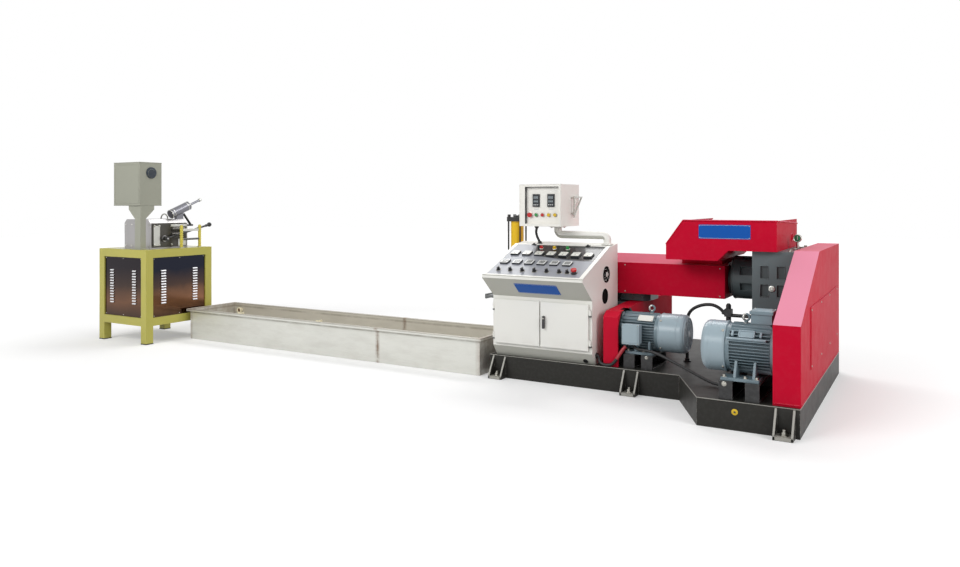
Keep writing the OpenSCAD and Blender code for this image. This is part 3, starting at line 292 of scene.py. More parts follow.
DIGIT = plastic("digit_grey", (150, 160, 164), 0.3)
SLEEVE = plastic("red_sleeve", (168, 44, 54), 0.45)
ROTOR = plastic("fan_blades", (214, 214, 210), 0.55, spec=0.2)
PANELPLASTIC = plastic("duct_plastic", (132, 134, 138), 0.5)
# Grey plastic for the door grip and for the painted shadow strips on the pendant
GREY_TRIM = plastic("grey_trim_plastic", (72, 71, 72), 0.6, spec=0.2)
MATT = plastic("matt_black", (10, 10, 11), 0.85, spec=0.08)
CLIP = plastic("clip_plastic", (238, 229, 198), 0.45)
PLUG = plastic("brown_plug", (104, 74, 46), 0.5)
VENT = plastic("vent_plastic", (46, 56, 68), 0.4)
INK = plastic("dial_ink", (18, 18, 20), 0.5)
GREENDIAL = plastic("green_dial", (38, 128, 86), 0.3)
DARKSTEEL = steel("dark_roller", (86, 84, 80), 0.36, (60, 6, 6))
PRESS = steel("press_steel", (132, 132, 138), 0.3, (30, 30, 6), 0.3)
HEAD = steel("head_steel", (176, 174, 174), 0.36, (50, 6, 60), 0.25)
LOUVRE = steel("louvre_steel", (240, 241, 244), 0.36, (30, 30, 30), 0.1, metal=0.35)
TOPSTEEL = steel("table_steel", (200, 200, 194), 0.32, (50, 6, 60), 0.25)


# Console powder coat, smudged low down, with painted shade on faces that lean down
def white_powder():
    t = Tree("white_powder")
    cloud = t.ramp(t.noise(1.7, 4), 0.3, 0.7)
    col = t.tint(lin(241, 240, 234), cloud, 0.06, (214, 216, 212))
    low = t.ramp(t.xyz()[2], 0.42, 0.24)
    col = t.tint(col, t.times(t.ramp(t.noise(7, 5), 0.42, 0.72), low), 0.28, (176, 172, 160))
    # Painted shade: faces that lean down turn grey
    painted_under_shade = t.ramp(t.normal("True Normal")[2], -0.06, -0.18)
    col = t.mix(painted_under_shade, col, lin(192, 192, 183))
    col = t.tint(col, t.chips(0.004, t.noise(26, 6, 0.7), 0.45, 0.62), 0.16, (168, 166, 158))
    t.set(Base_Color=col, Roughness=t.satin(11, 4, 0.14, 0.37))
    return t.bump(t.noise(420, 2), 0.1, 0.0005, 0.003)


# Colours chosen by place, over a shared satin finish
def masked(name, make, rough):
    t = Tree(name)
    col = t.mix(t.times(t.noise(24, 4), 0.16), make(t), (0.02, 0.02, 0.02))
    t.set(Base_Color=col, Roughness=t.satin(30, 3, 0.14, rough))
    return t.bump(t.noise(420, 2), 0.06, 0.0005, 0.0015)


# Buttons and lamps take their colour from where they stand along the row
def by_row(start, step, colours):
    def make(t):
        x = t.xyz()[0]
        col = lin(*colours[0])
        for k, rgb in enumerate(colours[1:]):
            between = (start + step * (k + 0.5)) * MM
            col = t.mix(t.ramp(x, between - 0.0005, between + 0.0005), col, lin(*rgb))
        return col
    return make


# Yellow barrel between black end caps and tie rods
def cylinder_paint(t):
    x, y, z = t.xyz()
    r = t.far(t.less(x, CYL_X * MM), t.less(y, AXIS_Y * MM))
    black = t.most(t.ramp(r, 0.0655, 0.0665), t.ramp(z, 1.3235, 1.3245))
    return t.mix(black, lin(255, 206, 8), lin(30, 30, 31))


# Pale yellow posts with a grey cross bar between them
def guide_paint(t):
    _, y, z = t.xyz()
    bar = t.times(t.band(z, 1.0825, 1.1095), t.band(y, -0.5745, -0.3605))
    return t.mix(bar, lin(222, 208, 84), lin(96, 96, 96))


# Grey instrument panel with a darker glossy zone to one side of a curved line
def panel_face():
    t = Tree("instrument_panel")
    x, y, z = t.xyz()
    dy = t.less(y, DESK_Y * MM)
    dz = t.less(z, DESK_Z * MM)
    v = t.math("ADD", t.times(dy, cos(DESK_A)), t.times(dz, sin(DESK_A)))
    u = t.math("DIVIDE", t.math("ADD", x, 1.212), 0.834)
    w = t.math("DIVIDE", t.less(v, 0.026), 0.607)
    inv = t.less(1.0, u)
    curve = t.math("MULTIPLY_ADD", t.times(inv, inv), 0.3, 0.5)
    over = t.less(w, curve)
    side = t.less(u, t.math("MULTIPLY_ADD", t.less(1.0, w), 0.25, 0.21))
    dark = t.times(t.ramp(over, -0.02, 0.03), t.ramp(side, -0.02, 0.03))
    grey = t.tint(lin(158, 161, 170), t.noise(5, 4), 0.3, (126, 129, 138))
    black = t.tint(lin(16, 17, 20), t.noise(3, 3), 0.5, (52, 54, 60))
    t.set(Base_Color=t.mix(dark, grey, black), Roughness=t.math("MULTIPLY_ADD", dark, -0.16, 0.34))
    return t.bump(t.noise(300, 2), 0.04, 0.0004, 0.002)


# Red guard with painted shade, near black, on the floor of the arch recess round the small motor
def guard_paint():
    t = Tree("arched_guard")
    x, y, z = t.xyz()
    base = lin(202, 24, 52)
    col = t.mix(t.times(t.ramp(t.noise(2.2, 4), 0.3, 0.7), 0.16), base, shade(base, 0.55))
    col = t.tint(col, t.chips(0.005, t.noise(26, 6, 0.7), 0.42, 0.6), 0.3, (222, 130, 135))
    dy = t.less(y, SMALL_Y * MM)
    dz = t.most(t.less(z, SMALL_Z * MM), 0.0)
    deep = t.times(t.ramp(x, -0.1485, -0.1495), t.ramp(x, -0.185, -0.184))
    # Painted shade inside the arch recess
    recess_shade = t.times(t.ramp(t.far(dy, dz), 0.1745, 0.1735), deep)
    col = t.mix(recess_shade, col, lin(20, 20, 21))
    t.set(Base_Color=col, Roughness=t.satin(11, 4, 0.16, 0.64), Specular_IOR_Level=0.06)
    return t.bump(t.noise(320, 2), 0.12, 0.0006, 0.003)


# Heat tint beside the trough seams, a warmer, duller inside, and a painted shadow under the rim hem
def trough_tint(t, col):
    x, y, z = t.xyz()
    front = t.times(t.band(x, -2.512, -2.474, 0.012), t.ramp(y, -0.5, -0.52))
    back = t.times(t.band(x, -2.645, -2.609, 0.012), t.ramp(y, -0.02, 0.0))
    ends = t.most(t.ramp(x, -1.43, -1.385), t.ramp(x, -5.05, -5.088))
    heat = t.most(t.most(front, back), t.times(ends, 0.5))
    heat = t.times(heat, t.ramp(t.noise(17, 5), 0.25, 0.62))
    facing = t.normal("Normal")
    inner = t.times(t.ramp(facing[1], -0.4, -0.6), t.ramp(y, -0.2, -0.1))
    inner = t.most(inner, t.times(t.ramp(facing[2], 0.5, 0.8), t.ramp(z, 0.06, 0.03)))
    col = t.tint(col, inner, 0.62, (200, 192, 178))
    smear = t.ramp(t.noise(3.5, 6, 0.6, (1, 1, 4)), 0.45, 0.75)
    col = t.tint(col, smear, 0.25, (168, 162, 150))
    # Painted shadow: a dark line under the rim hem, and the top of the rim darker too
    hem = t.times(t.band(z, 0.287, 0.304, 0.006), t.ramp(t.noise(9, 4), 0.25, 0.6))
    col = t.tint(col, t.most(hem, t.ramp(z, 0.319, 0.324)), 0.5, (128, 118, 100))
    return t.tint(col, heat, 0.75, (120, 84, 52))


# Polished panel with painted reflections: near black at the top, a warm painted reflection low down, darker
# on the front panel
def bronze_reflections(t, col):
    _, y, z = t.xyz()
    height = t.math("MULTIPLY_ADD", t.noise(3, 4), 0.16, z)
    reflection_col = t.mix(t.ramp(height, 0.62, 0.86), lin(86, 68, 58), lin(40, 42, 52))
    reflection_col = t.tint(reflection_col, t.band(height, 0.44, 0.6, 0.08), 0.75, (150, 106, 78))
    return t.tint(reflection_col, t.ramp(y, -1.05, -1.06), 0.5, (50, 40, 37))


BUTTON_ROW = [(200, 26, 30), (60, 150, 80), (196, 30, 34), (226, 186, 40), (228, 188, 44)]
LAMP_ROW = [(210, 24, 30), (232, 190, 30), (50, 160, 80)]
WHITE = white_powder()
PANELGREY = panel_face()
BUTTONS = masked("button_row", by_row(BUTTON_X, BUTTON_STEP, BUTTON_ROW), 0.26)
LAMPS_MAT = masked("lamp_row", by_row(LAMP_X, LAMP_STEP, LAMP_ROW), 0.2)
CYLINDER = masked("cylinder_paint", cylinder_paint, 0.3)
GUIDES = masked("guide_paint", guide_paint, 0.36)
LEFTGUARD = guard_paint()
SHEET = steel("trough_sheet", (226, 226, 219), 0.42, (3, 60, 90), 0.12, trough_tint, metal=0.5)
MIRROR = steel("polished_panel", (90, 80, 70), 0.13, (3, 3, 60), 0.35, bronze_reflections)

PAINT = {
    RED: "barrel_cover feed_hopper belt_guard_right guard_access_panel lower_barrel_cover feed_throat",
    LEFTGUARD: "belt_guard_left",
    DARK: "base_frame",
    BLACK: "barrel_stand motor_large_stand motor_small_stand cutter_lever cooling_pipe",
    MOTOR: "motor_large_body motor_small_body motor_large_terminal_box",
    FAN: "motor_large_fan_cover motor_small_fan_cover motor_small_terminal_box",
    GEAR: "thrust_housing gearbox_housing lower_gearbox",
    TOOL: "melt_transfer_block screen_changer die_head door_hinges",
    WHITE: "console_cabinet console_door_left console_door_right pendant_arm",
    CREAM: "pendant_box",
    KNOB: "selector_knobs temperature_controllers pendant_displays",
    BRIGHT: "gearbox_gauge pendant_handle",
    MATT: "side_fan_grille",
    CLIP: "trough_guides",
    CYLINDER: "hydraulic_cylinder",
    GUIDES: "strand_guide_posts",
    OLIVE: "table_frame",
    GREENGREY: "control_post control_box",
    REDPLASTIC: "emergency_stop",
    BUTTONS: "pendant_buttons",
    LAMPS_MAT: "pilot_lamps",
    PANELGREY: "instrument_panel",
    METERCASE: "panel_meters",
    SHEET: "trough_shell",
    MIRROR: "table_panels",
    TOPSTEEL: "table_top",
    HEAD: "cutter_head",
    PRESS: "press_roll",
    RUBBER: "pendant_cable motor_cable motor_link_cable hydraulic_hose",
}
for material, names in PAINT.items():
    for name in names.split():
        data = nodes[name].data
        data.materials.clear()
        data.materials.append(material)

# Floor that glows less near the machine, soft light and camera
SKY_LIGHT, NEAR_GLOW, FAR_GLOW = 0.28, 0.32, 0.86
bpy.ops.mesh.primitive_plane_add(size=60, location=(-2, 0, -0.002))
floor = bpy.context.object
floor.name = "studio_floor"
fl = Tree("floor_paper")
fx, fy, _ = fl.xyz()
glow = fl.ramp(fl.far(fx, fy), 3.5, 9.0, NEAR_GLOW, FAR_GLOW)
fl.set(Base_Color=(0.7, 0.7, 0.7), Roughness=0.9, Specular_IOR_Level=0.1)
fl.set(Emission_Color=(1, 1, 1), Emission_Strength=fl.times(fl.seen(), glow))
floor.data.materials.append(fl.mat)

world = scene.world = bpy.data.worlds.new("studio")
world.use_nodes = True
wt = Nodes(world.node_tree)
sky = wt.node("Background", Color=(1, 1, 1), Strength=wt.ramp(wt.seen(), 0.0, 1.0, SKY_LIGHT, 1.0))
wt.node("OutputWorld", Surface=sky.outputs[0])


# Rectangular lamp aimed at a point
def area(name, loc, aim, size, watts):
    light = bpy.data.lights.new(name, "AREA")
    light.shape = "RECTANGLE"
    light.size, light.size_y = size
    light.energy = watts
    ob = place(name, light)
    ob.location = loc
    ob.rotation_euler = (Vector(aim) - Vector(loc)).to_track_quat("-Z", "Y").to_euler()


area("key_softbox", (-4.2, -7.5, 5.5), (-1.5, 0, 0.6), (6, 3), 405)
area("side_softbox", (5.5, -2.6, 3.4), (0.5, 0, 0.8), (3, 3), 165)
area("top_softbox", (-2.0, 3.2, 5.8), (-2.0, 0, 0.3), (8, 2.2), 270)

# Focal length and drop of the picture in pixels of the photo, over its width
FOCAL, DROP, WIDE = 780, 80.5, 960
cam = bpy.data.cameras.new("photo_camera")
cam.sensor_width = 36.0
cam.lens = cam.sensor_width * FOCAL / WIDE
cam.shift_y = -DROP / WIDE
cam.clip_end = 200
camera = place("photo_camera", cam)
camera.location = (2.050, -6.408, 1.5)
camera.rotation_euler = (radians(90), 0, radians(30.4))
scene.camera = camera
scene.view_settings.view_transform = "Standard"


# Mesh builder for small parts, all sizes in millimetres
class Kit:
    def __init__(self, name, material, slot, body=MAIN):
        self.name, self.material, self.slot, self.body = name, material, slot, body
        self.bm = bmesh.new()

    def add(self, verts, faces, m=None):
        vs = [self.bm.verts.new((m @ Vector(v) if m else Vector(v)) * MM) for v in verts]
        for f in faces:
            self.bm.faces.new([vs[i] for i in f])
        return self

    # Skin over rows of n points, capped at both ends or closed into a ring
    def skin(self, v, n, m=None, ring=False):
        rows = len(v) // n
        f = []
        for i in range(rows if ring else rows - 1):
            p = (i + 1) % rows
            for k in range(n):
                j = (k + 1) % n
                f.append((i * n + k, i * n + j, p * n + j, p * n + k))
        if not ring:
            f += [tuple(range(n - 1, -1, -1)), tuple(range((rows - 1) * n, rows * n))]
        return self.add(v, f, m)

    def box(self, x0, x1, y0, y1, z0, z1, m=None):
        v = [(x, y, z) for z in (z0, z1) for y in (y0, y1) for x in (x0, x1)]
        f = [(0, 2, 3, 1), (4, 5, 7, 6), (0, 1, 5, 4), (1, 3, 7, 5), (3, 2, 6, 7), (2, 0, 4, 6)]
        return self.add(v, f, m)

    # Four bars of one thickness round an upright rectangle
    def outline(self, x0, x1, y0, y1, z0, z1, t):
        for z in (z0, z1 - t):
            self.box(x0, x1, y0, y1, z, z + t)
        for x in (x0, x1 - t):
            self.box(x, x + t, y0, y1, z0 + t, z1 - t)

    def lathe(self, m, profile, n):
        turns = [math.tau * k / n for k in range(n)]
        return self.skin([(r * cos(a), r * sin(a), z) for r, z in profile for a in turns], n, m)

    def hexbolt(self, m, flat, h, washer=True):
        r = flat / math.sqrt(3)
        z = 0.0
        if washer:
            self.lathe(m, [(r * 1.32, 0), (r * 1.32, 2.2), (r * 1.25, 2.6)], 24)
            z = 2.4
        return self.lathe(m, [(r, z), (r, z + h * 0.85), (r * 0.84, z + h)], 6)

    def screw(self, m, r, h):
        dome = ((1, 0), (0.96, 0.45), (0.72, 0.85), (0.42, 1), (0.36, 0.55))
        return self.lathe(m, [(r * p, h * q) for p, q in dome], 16)

    def torus(self, m, big, small, n, k, arc=1.0):
        v = []
        for i in range(n if arc == 1.0 else n + 1):
            a = math.tau * arc * i / n
            for j in range(k):
                b = math.tau * j / k
                r = big + small * cos(b)
                v.append((r * cos(a), r * sin(a), small * sin(b)))
        return self.skin(v, k, m, arc == 1.0)

    def prism(self, m, pts, z0, z1):
        return self.skin([(x, y, z) for z in (z0, z1) for x, y in pts], len(pts), m)

    def plate(self, m, w, h, r, z0, z1):
        pts = []
        for k, (cx, cy) in enumerate(((1, 1), (-1, 1), (-1, -1), (1, -1))):
            for s in range(6):
                a = radians(90 * k + 18 * s)
                pts.append((cx * (w / 2 - r) + r * cos(a), cy * (h / 2 - r) + r * sin(a)))
        return self.prism(m, pts, z0, z1)

    def pipe(self, points, r, n):
        pts = [Vector(p) for p in points]
        v = []
        for i, p in enumerate(pts):
            t = (pts[min(i + 1, len(pts) - 1)] - pts[max(i - 1, 0)]).normalized()
            ref = Vector((0, 0, 1)) if abs(t.z) < 0.9 else Vector((0, 1, 0))
            s = t.cross(ref).normalized()
            u = s.cross(t)
            for k in range(n):
                a = math.tau * k / n
                v.append(p + s * (r * cos(a)) + u * (r * sin(a)))
        return self.skin(v, n)

    def done(self, bevel=0.0):
        bmesh.ops.recalc_face_normals(self.bm, faces=self.bm.faces)
        data = bpy.data.meshes.new(self.name)
        self.bm.to_mesh(data)
        self.bm.free()
        data.shade_smooth()
        data.set_sharp_from_angle(angle=radians(32))
        data.materials.append(self.material)
        ob = place(self.name, data)
        if bevel:
            mod = ob.modifiers.new("edge", "BEVEL")
            mod.width = bevel * MM
            mod.segments = 2
            mod.limit_method = "ANGLE"
            mod.angle_limit = radians(40)
        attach(ob, self.body)
        return ob


def zinc(name):
    return Kit(name, ZINC, "tool_steel")


def shift(x, y, z):
    return Matrix.Translation((x, y, z))


def turn(degrees, axis):
    return Matrix.Rotation(radians(degrees), 4, axis)


# Quarter turns that lay Z along each direction
QUARTERS = {"Z": (0, "X"), "-Z": (180, "X"), "X": (90, "Y"), "-X": (-90, "Y"),
            "Y": (-90, "X"), "-Y": (90, "X")}


# Frame with its Z along a direction, placed at a point in millimetres
def at(x, y, z, axis="Z"):
    return shift(x, y, z) @ turn(*QUARTERS[axis])


# Frame for profiles drawn in Y and Z, with their length along X
def across(x, y, z):
    return Matrix(((0, 0, 1, x), (1, 0, 0, y), (0, 1, 0, z), (0, 0, 0, 1)))


# Frame with its Z along any way
def aimed(point, way):
    return Matrix.Translation(point) @ way.to_track_quat("Z", "Y").to_matrix().to_4x4()


# Free cords follow the routes of their solids, rounded through each point
def smooth_route(points, total):
    pts = [Vector(p) for p in points]
    ext = [2 * pts[0] - pts[1]] + pts + [2 * pts[-1] - pts[-2]]
    dense = []
    for i in range(len(pts) - 1):
        p0, p1, p2, p3 = ext[i:i + 4]
        for s in range(20):
            u = s / 20
            dense.append(0.5 * (2 * p1 + (p2 - p0) * u + (2 * p0 - 5 * p1 + 4 * p2 - p3) * u * u
                                + (3 * p1 - p0 - 3 * p2 + p3) * u ** 3))
    dense.append(pts[-1])
    run = [0.0]
    for a, b in zip(dense, dense[1:]):
        run.append(run[-1] + (b - a).length)
    out, j = [], 0
    for k in range(total):
        goal = run[-1] * k / (total - 1)
        while j < len(run) - 2 and run[j + 1] < goal:
            j += 1
        span = run[j + 1] - run[j]
        out.append(dense[j].lerp(dense[j + 1], (goal - run[j]) / span if span else 0))
    return out


def lay_cord(name, node, points, radius, total):
    route = smooth_route(points, total)
    curve = bpy.data.curves.new(name, "CURVE")
    curve.dimensions = "3D"
    curve.bevel_depth = radius * MM
    curve.bevel_resolution = 4
    curve.use_fill_caps = True
    spline = curve.splines.new("POLY")
    spline.points.add(len(route) - 1)
    for p, co in zip(spline.points, route):
        p.co = (*(co / 1000), 1)
    spline.use_smooth = True
    ob = place(name, curve)
    curve.materials.append(RUBBER)
    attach(ob, MAIN)
    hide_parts(node)


PEND = [(-1054, -110, 1296), (-1054, -110, 1276), (-1058, -114, 1240), (-1046, -118, 1200),
        (-1030, -108, 1160), (-1028, -100, 1148), (-1028, -100, 1137)]
HOSE = [(262, 30, 190), (262, 30, 240), (260, 28, 330), (260, 24, 430), (264, 16, 520), (282, 8, 588),
        (320, 2, 632), (372, 0, 660), (430, 0, 674), (486, 0, 672), (530, 0, 652), (556, 0, 630),
        (566, 0, 620), (575, 0, 620)]
CABLE = [(-340, -470, 262), (-326, -470, 262), (-310, -484, 244), (-292, -502, 218), (-264, -510, 206),
         (-230, -511, 204), (-192, -511, 214), (-160, -511, 246), (-132, -504, 292), (-104, -488, 338),
         (-84, -478, 364), (-80, -474, 380), (-80, -474, 393)]
LINK = [(-20, -474, 393), (-20, -474, 378), (-10, -482, 362), (22, -498, 352), (80, -508, 350),
        (150, -520, 344), (220, -534, 326), (300, -556, 300), (400, -592, 270), (500, -640, 242),
        (590, -692, 220), (660, -732, 208), (720, -758, 206), (766, -766, 206), (786, -766, 206)]
red_run = [p for p in smooth_route(CABLE, 60) if 256 < p.z < 366 and p.x > -160]
sleeve = Kit("cable_sleeve", SLEEVE, "red_plastic").pipe(red_run, 14.6, 16).done(0.8)
lay_cord("pendant_lead", "pendant_cable", PEND, 11, 17)
lay_cord("oil_hose", "hydraulic_hose", HOSE, 13, 33)
lay_cord("motor_lead", "motor_cable", CABLE, 13, 29)
lay_cord("motor_link", "motor_link_cable", LINK, 11, 37)

# Rows of the instruments, measured up the desk from its lower edge
DESK = shift(0, DESK_Y, DESK_Z) @ Matrix.Rotation(DESK_A, 4, "X")
PANEL_TOP = 8
ROW_KNOB, ROW_CTRL, ROW_METER, ROW_LAMP, ROW_PIN = 100, 256, 434, 558, 634
METERS = [CON_MID + (k - 3) * 114 for k in range(7)]
CONTROLLERS = [CON_MID - 66 + (k - 2.5) * 116 for k in range(6)]
KNOBS = [CON_MID - 344 + k * 112 for k in range(6)] + [CON_MID + 286]
LAMPS = [LAMP_X + k * LAMP_STEP for k in range(3)]
STOP_X = CON_MID + 346


def desk(x, v, lift):
    return DESK @ shift(x, v, lift)


# Frame on a motor body at an angle above its front, Z outward
def round_frame(x, y, z, r, angle):
    a = radians(angle)
    c, s = cos(a), sin(a)
    return Matrix(((1, 0, 0, x), (0, s, -c, y - c * r), (0, c, s, z + s * r), (0, 0, 0, 1)))


# Bright edges of the anchor brackets, worn metal and a painted highlight, with anchor nuts on their foot
# plates
feet = Kit("base_foot_edges", WORN_HIGHLIGHT, "base_paint")
nuts = zinc("base_anchor_nuts")
run = across(0, 0, 0)
for px, py, side in ((-1205, BASE_Y0, 1), (-27, BASE_Y0, 1), (1210, WING_Y0, 1),
                     (-1205, BASE_Y1, -1), (-27, BASE_Y1, -1), (1210, BASE_Y1, -1)):
    tip = py - side * 90
    for g in (px - 62, px + 50):
        feet.prism(run, [(py, 180), (py - side * 4, 184), (tip - side * 3, 31), (tip, 29)], g - 1, g + 13)
        feet.prism(run, [(tip, 0), (tip - side * 2.5, 1), (tip - side * 2.5, 31), (tip, 30)], g - 1, g + 13)
    feet.box(px - 50, px + 50, *sorted((py, tip - side * 2)), 20, 24)
    feet.box(px - 62, px + 62, *sorted((tip, tip - side * 2.5)), 1, 23)
    m = at(px, py - side * 45, 24)
    nuts.lathe(m, [(27, 0), (27, 3.5), (25, 4.5)], 28)
    nuts.lathe(m, [(20, 4), (20, 21), (16.5, 24)], 6)
    nuts.lathe(m, [(11.5, 4), (11.5, 38), (9.5, 40)], 20)
feet.done(0.8)
nuts.done(0.6)

# Painted highlight along the top edge of the base, in worn-paint colour
edge = [(-1300, BASE_Y1), (-1300, BASE_Y0), (354, BASE_Y0), (646, WING_Y0), (1300, WING_Y0), (1300, BASE_Y1)]
Kit("base_top_edge", WORN_HIGHLIGHT, "base_paint").pipe([(x, y, 189) for x, y in edge], 2.8, 8).done()

# Earth stud on the base front
earth = [(21, 0), (21, 1.6), (19, 2.2)]
Kit("earth_disc", SIGNAL, "yellow_paint").lathe(at(EARTH_X, WING_Y0, EARTH_Z, "-Y"), earth, 36).done(0.3)
stud = Kit("earth_stud", DARKSTEEL, "tool_steel")
stud.hexbolt(at(EARTH_X, WING_Y0 - 2, EARTH_Z, "-Y"), 9, 7).done(0.4)

# Screws at the access panel and the barrel cover
screws = zinc("guard_screws")
for y, z in product((-631, -118, 396, 909), (378, 764)):
    screws.screw(at(1305, y, z, "X"), 7, 4)
for x, z in product((-280, 525), (740, 966)):
    screws.screw(at(x, 40, z, "-Y"), 6, 3.5)
screws.done(0.3)

# Folded seams of the guards and the cover end
seam = Kit("guard_seams", RED, "red_paint")
seam.box(1136, 1292, -1094, -1091, 200, 208)
seam.box(1300, 1303, -1060, 1100, 196, 206)
for z in (730, 972):
    seam.box(561, 568, 60, 460, z - 4, z + 4)
seam.torus(at(HOP_X1 + 0.5, 470, 1216, "X"), 32, 4, 40, 8).done(0.8)

# Rolled lips on the hopper edge
lip = Kit("hopper_lip", RED, "red_paint")
lip.pipe([(HOP_X0, HOP_Y0, HOP_TOP), (HOP_X1, HOP_Y0, HOP_TOP)], 7, 12)
lip.pipe([(HOP_X0, HOP_Y0, HOP_TOP), (160, HOP_Y0, 1169)], 6, 12)
lip.pipe([(HOP_X1, HOP_Y0, HOP_TOP), (HOP_X1, HOP_Y1, 1326)], 7, 12)
lip.pipe([(HOP_X1, HOP_Y1, 1324), (HOP_X0, HOP_Y1, 1324)], 7, 12).done()

# Plain blue plates with rivets and pale borders
slope = math.atan2(166, 200)
c, s = cos(slope), sin(slope)
nose = Matrix(((1, 0, 0, -781.5), (0, -c, -s, -656.5), (0, s, -c, 794.5), (0, 0, 0, 1)))
plates = Kit("blank_plates", BLUE, "panel_grey")
rivets = zinc("plate_rivets")
frames = Kit("plate_borders", METERWHITE, "meter_white")
for m, w, h, thick in ((at(620.5, HOP_Y0, 1275.5, "-Y"), 395, 111, 2.2), (nose, 387, 133, 2.6)):
    plates.plate(m, w, h, 6, 0, thick)
    for sx, sy in CORNERS:
        corner = m @ shift(sx * (w / 2 - 9), sy * (h / 2 - 9), 2)
        rivets.lathe(corner, [(4.5, 0), (4.2, 1.2), (2.6, 2.4), (0.8, 2.9)], 14)
    for s in (-1, 1):
        v = s * (h / 2 - 5)
        frames.box(-w / 2 + 14, w / 2 - 14, v - 0.8, v + 0.8, 2, 2.7, m)
plates.done(0.4)
rivets.done()
frames.done()

# Gearbox bolts, plug and gauge
bolts = zinc("gearbox_bolts")
for x in (842, 905, 968, 1031, 1094):
    bolts.hexbolt(at(x, -186, 226), 20, 11)
for y in (-120, 60, 260, 460, 640):
    bolts.hexbolt(at(802, y, 226), 20, 11)
for x, y in product((850, 1090), (-130, 110, 400, 650)):
    bolts.hexbolt(at(x, y, GEAR_TOP), 22, 12)
bolts.done(0.6)
bands = Kit("thrust_bands", GEAR, "gear_paint")
bands.torus(at(606, AXIS_Y, 887, "X"), 172, 8, 64, 10)
bands.torus(at(808, AXIS_Y, 887, "X"), 176, 7, 64, 10).done()
plug = Kit("gearbox_plug", BRIGHT, "grille_steel")
plug.lathe(at(963, GEAR_FRONT, 846, "-Y"), [(24, 0), (24, 5), (20, 7), (14, 7), (13, 4)], 32)
plug.hexbolt(at(963, GEAR_FRONT - 4, 846, "-Y"), 20, 8, False).done(0.4)
disc = [(26, 0), (26, 1.2), (25, 1.6)]
Kit("gauge_dial", GREENDIAL, "lamp_plastic").lathe(at(GAUGE_X, 240, GAUGE_Z, "-Y"), disc, 36).done()
rim = Kit("gauge_rim", BRIGHT, "grille_steel")
rim.torus(at(GAUGE_X, 239, GAUGE_Z, "-Y"), 28.5, 4, 40, 10)
rim.box(GAUGE_X - 2.1, GAUGE_X + 2.1, 237, 238.4, GAUGE_Z - 12, GAUGE_Z + 18).done()
ribs = Kit("gearbox_ribs", GEAR, "gear_paint")
for share, z in product((0.2, 0.587), (784, 925)):
    x = GEAR_X0 + GEAR_LEN * share
    for x0, x1, z0, z1 in ((-5, 0, -5, 97), (55.8, 60.8, -5, 97), (0, 55.8, 92, 97), (0, 55.8, -5, 0)):
        ribs.box(x + x0, x + x1, GEAR_FRONT - 4, GEAR_FRONT + 2, z + z0, z + z1)
ribs.done(1.5)

# Plate that carries the barrel cover on from the saddle, over the left guard
ledge = Kit("saddle_plate", GEAR, "gear_paint")
ledge.prism(at(0, 0, 653), [(-354, 130), (-140, 130), (-96, 174), (-96, 390), (-354, 390)], 0, 68)
for x in (-330, -240, -150):
    ledge.hexbolt(at(x, 130, 690, "-Y"), 19, 9)
ledge.done(2.0)

# Black band round the arch of the left guard, within the edges of its face: painted shade that widens the
# arch opening, shaped as a rubber lip
arch_shade = Kit("arch_shade_lip", RUBBER, "cord_rubber")
inner, outer = [], []
for k in range(61):
    a = radians(-30 + 4 * k)
    c, s = cos(a), sin(a)
    reach = min(188, 163 / max(s - 0.0507 * c, 0.01), 242 / max(s - 0.645 * c, 0.01))
    inner.append((171.5 * c, 171.5 * s))
    outer.append((reach * c, reach * s))
for k in range(60):
    if min(math.hypot(*outer[k]), math.hypot(*outer[k + 1])) > 174:
        arch_shade.prism(across(-148, *SMALL), [inner[k], outer[k], outer[k + 1], inner[k + 1]], -0.5, 5)
arch_shade.done()

# Motor fittings: name plates, lids, foot bolts and lifting eyes
badge = round_frame(48, *SMALL, 151, 50)
Kit("motor_name_plates", METERWHITE, "meter_white").plate(badge, 122, 58, 4, 0, 3).done(0.4)
holder = Kit("motor_plate_frames", FAN, "fan_paint")
m = round_frame(946, *BIG, 169, 40)
for s in (-1, 1):
    holder.box(-52, 52, s * 24 - 4, s * 24 + 4, -6, 9, m)
    holder.box(s * 49 - 4, s * 49 + 4, -28, 28, -6, 9, m)
    holder.box(s * 92 - 7, s * 92 + 7, -20, 20, -8, 9, m)
holder.box(-48, 48, -22, 22, -8, 2, m)
holder.box(-128, 128, -46, -34, -14, 8, m).done(1.2)
lids = Kit("terminal_lids", FAN, "fan_paint")
lids.plate(at(LID_X, LID_Y + 4, SMALL_Z, "-Y"), 140, 158, 18, -14, 4)
lids.plate(at(LID_X, LID_Y, SMALL_Z, "-Y"), 116, 132, 14, 0, 4)
lids.plate(at(BIG_LID_X, BIG_Y, BIG_LID_Z - 4), 148, 152, 14, 0, 4)
lids.plate(at(BIG_LID_X, BIG_Y, BIG_LID_Z), 120, 122, 12, 0, 3).done(2.0)
small = zinc("motor_screws")
for sx, sy in CORNERS:
    small.screw(at(LID_X + sx * 61, LID_Y, SMALL_Z + sy * 70, "-Y"), 4.5, 3)
    small.screw(at(BIG_LID_X + sx * 66, BIG_Y + sy * 67, BIG_LID_Z), 5, 3)
    small.screw(badge @ shift(sx * 54, sy * 23, 3), 3.4, 2.2)
for s in (-1, 1):
    for x in (814, 950, 1024):
        small.hexbolt(at(x, BIG_Y + s * 192, 335), 22, 14)
    for x in (-78, 42, 108):
        small.hexbolt(at(x, SMALL_Y + s * 142, 322), 18, 12)
small.hexbolt(at(823, -1106, 296, "-Y"), 22, 12)
small.hexbolt(at(82, -477, 286, "-Y"), 18, 10)
for a in DIAGONALS:
    out = Vector((0, cos(a), sin(a)))
    for x, y, z, r in ((790, *BIG, 172), (172, *SMALL, 151)):
        small.hexbolt(aimed(Vector((x, y, z)) + out * r, out), 13, 6)
small.done(0.4)
eyes = Kit("lifting_eyes", BRIGHT, "grille_steel")
